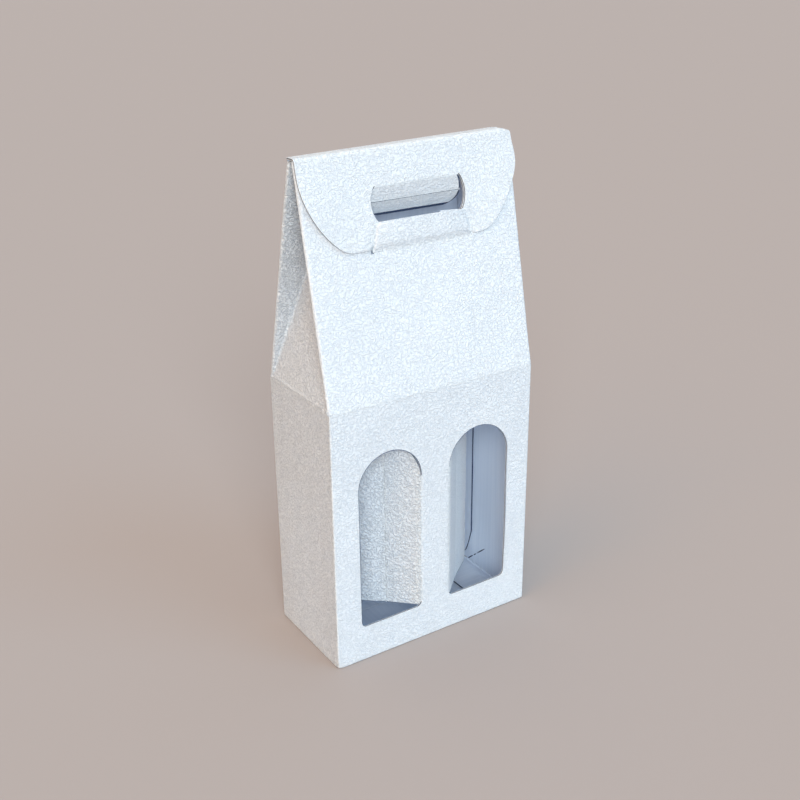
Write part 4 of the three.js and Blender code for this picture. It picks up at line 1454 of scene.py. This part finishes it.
def slit(number, start, end, wide=1.1):
    """A thin lens from start to end on the wall's inner face, which has the wall's own waves. Half width =
    wide / 2 times the square root of a sine."""
    start, end = np.array(start, float), np.array(end, float)
    t = np.linspace(0, 1, 13)
    way = (end - start) / np.linalg.norm(end - start)
    half = wide / 2 * np.sqrt(np.sin(math.pi * np.clip(t, 0.02, 0.98)))[:, None]
    middle = start + t[:, None] * (end - start)
    square = half * (-way[1], way[0])
    flat = np.stack([middle + square, middle - square])
    wall_face = waves(flat, RIGHT_SEED) * held(flat, right_creases) - BOARD
    outer, inner = place(right_frame, flat, wall_face + SUNK_IN), place(right_frame, flat, wall_face - PROUD)
    points, faces, kinds, uvs = sheet_parts(outer, inner, flat, False)
    # the whole sliver is painted shade in the slit
    sliver = make_mesh(f"wall_slit_{number}", points, faces, np.full_like(kinds, SHADOW_LINE), uvs)
    dress(sliver, "carton", [])


for number, (start, end) in enumerate(SLITS):
    slit(number, start, end)

# %% [markdown]
# ## Floor, light and camera
#
# The photograph has a plain warm grey ground. A large plane of that colour fills the view.
# The light is soft. A sky is brightest above and warmer on the left than on the right, and wide lamps add
# four directions.
# The strongest lamp shines from beside the camera, a weak cool one from the front right, and two warm ones
# from the left.
# Their colours and strengths were fitted to the tones that the photograph shows on the front, the gable and
# the side.

# %% Floor
floor_mesh = bpy.data.meshes.new("floor")
far, below = 40.0, -0.2 * MM
floor_corners = [(-far, -far, below), (far, -far, below), (far, far, below), (-far, far, below)]
floor_mesh.from_pydata(floor_corners, [], [(0, 1, 2, 3)])
floor = bpy.data.objects.new("floor", floor_mesh)
bpy.context.scene.collection.objects.link(floor)
ground, tree = new_material("painted_floor")
paint = add_node(
    tree, "ShaderNodeBsdfPrincipled",
    {"Base Color": linear("#A89E9A"), "Roughness": 0.9, "Specular IOR Level": 0.1},
)
add_node(tree, "ShaderNodeOutputMaterial", {"Surface": paint.outputs[0]})
floor_mesh.materials.append(ground)

# %% Sky
# Each side of the sky is a direction and the light that comes from there. It fades with the square of the
# cosine.
SKY = [
    ((-1, 0, 0), (0.33, 0.20, 0.12)),
    ((1, 0, 0), (0.30, 0.38, 0.51)),
    ((0, 1, 0), (0.50, 0.45, 0.40)),
    ((0, -1, 0), (0.12, 0.12, 0.13)),
    ((0, 0, 1), (1.13, 1.13, 1.12)),
]
world = bpy.data.worlds.new("studio")
bpy.context.scene.world = world
world.use_nodes = True
tree = world.node_tree
tree.nodes.clear()
towards = add_node(tree, "ShaderNodeTexCoord")
total = (0.0, 0.0, 0.0)
for direction, colour in SKY:
    facing = add_node(
        tree, "ShaderNodeVectorMath", {0: towards.outputs["Generated"], 1: direction},
        operation="DOT_PRODUCT",
    )
    ahead = add_node(tree, "ShaderNodeMath", {0: facing.outputs["Value"], 1: 0.0}, operation="MAXIMUM")
    squared = add_node(tree, "ShaderNodeMath", {0: ahead.outputs[0], 1: 2.0}, operation="POWER")
    glow = add_node(tree, "ShaderNodeVectorMath", {0: colour, "Scale": squared.outputs[0]}, operation="SCALE")
    total = add_node(tree, "ShaderNodeVectorMath", {0: glow.outputs[0], 1: total}, operation="ADD").outputs[0]
sky = add_node(tree, "ShaderNodeBackground", {"Color": total, "Strength": 1.0})
add_node(tree, "ShaderNodeOutputWorld", {"Surface": sky.outputs[0]})
print("sky from", len(SKY), "sides")

# %% Lamps
# Each lamp is its name, the direction it shines in, its colour and its strength.
LAMPS = [
    ("cool_from_the_right", (-0.45, 0.75, -0.62), (0.27, 0.67, 1.00), 0.81),
    ("large_by_the_camera", (0.45, 0.80, -0.40), (0.85, 0.95, 1.00), 3.36),
    ("warm_high_on_the_left", (0.60, 0.05, -0.80), (1.00, 0.39, 0.00), 0.33),
    ("warm_from_the_left", (0.85, 0.25, -0.46), (1.00, 0.50, 0.00), 0.46),
]
LAMP_SPREAD = math.radians(35)
for name, shines, colour, energy in LAMPS:
    lamp = bpy.data.lights.new(name, "SUN")
    lamp.energy, lamp.angle, lamp.color = energy, LAMP_SPREAD, colour
    lamp_object = bpy.data.objects.new(name, lamp)
    lamp_object.rotation_euler = Vector(shines).to_track_quat("-Z", "Y").to_euler()
    bpy.context.scene.collection.objects.link(lamp_object)
print(len(LAMPS), "lamps")

# %% Camera
# These come from solving the camera against the photograph: the view's turn, height and roll, the focal
# length in pixels, the distance and the target.
VIEW_TURN, VIEW_HEIGHT, ROLL = math.radians(-32.9), math.radians(22.9), math.radians(-0.60)
FOCAL_PIXELS, PHOTO_PIXELS, SENSOR = 1095, 800, 36.0
DISTANCE, TARGET = 844.0, (-2.4, 0.0, 187.9)
level = math.cos(VIEW_HEIGHT)
back = Vector((math.sin(VIEW_TURN) * level, -math.cos(VIEW_TURN) * level, math.sin(VIEW_HEIGHT)))
camera_data = bpy.data.cameras.new("camera")
camera_data.sensor_width, camera_data.lens = SENSOR, FOCAL_PIXELS / PHOTO_PIXELS * SENSOR
camera = bpy.data.objects.new("camera", camera_data)
stand = Matrix.Translation((Vector(TARGET) + back * DISTANCE) * MM)
facing_target = back.to_track_quat("Z", "Y").to_matrix().to_4x4()
camera.matrix_world = stand @ facing_target @ Matrix.Rotation(ROLL, 4, "Z")
bpy.context.scene.collection.objects.link(camera)
bpy.context.scene.camera = camera
bpy.context.scene.view_settings.view_transform = "Standard"
print("camera", [round(c, 4) for c in camera.location], "lens", round(camera_data.lens, 2), "mm")
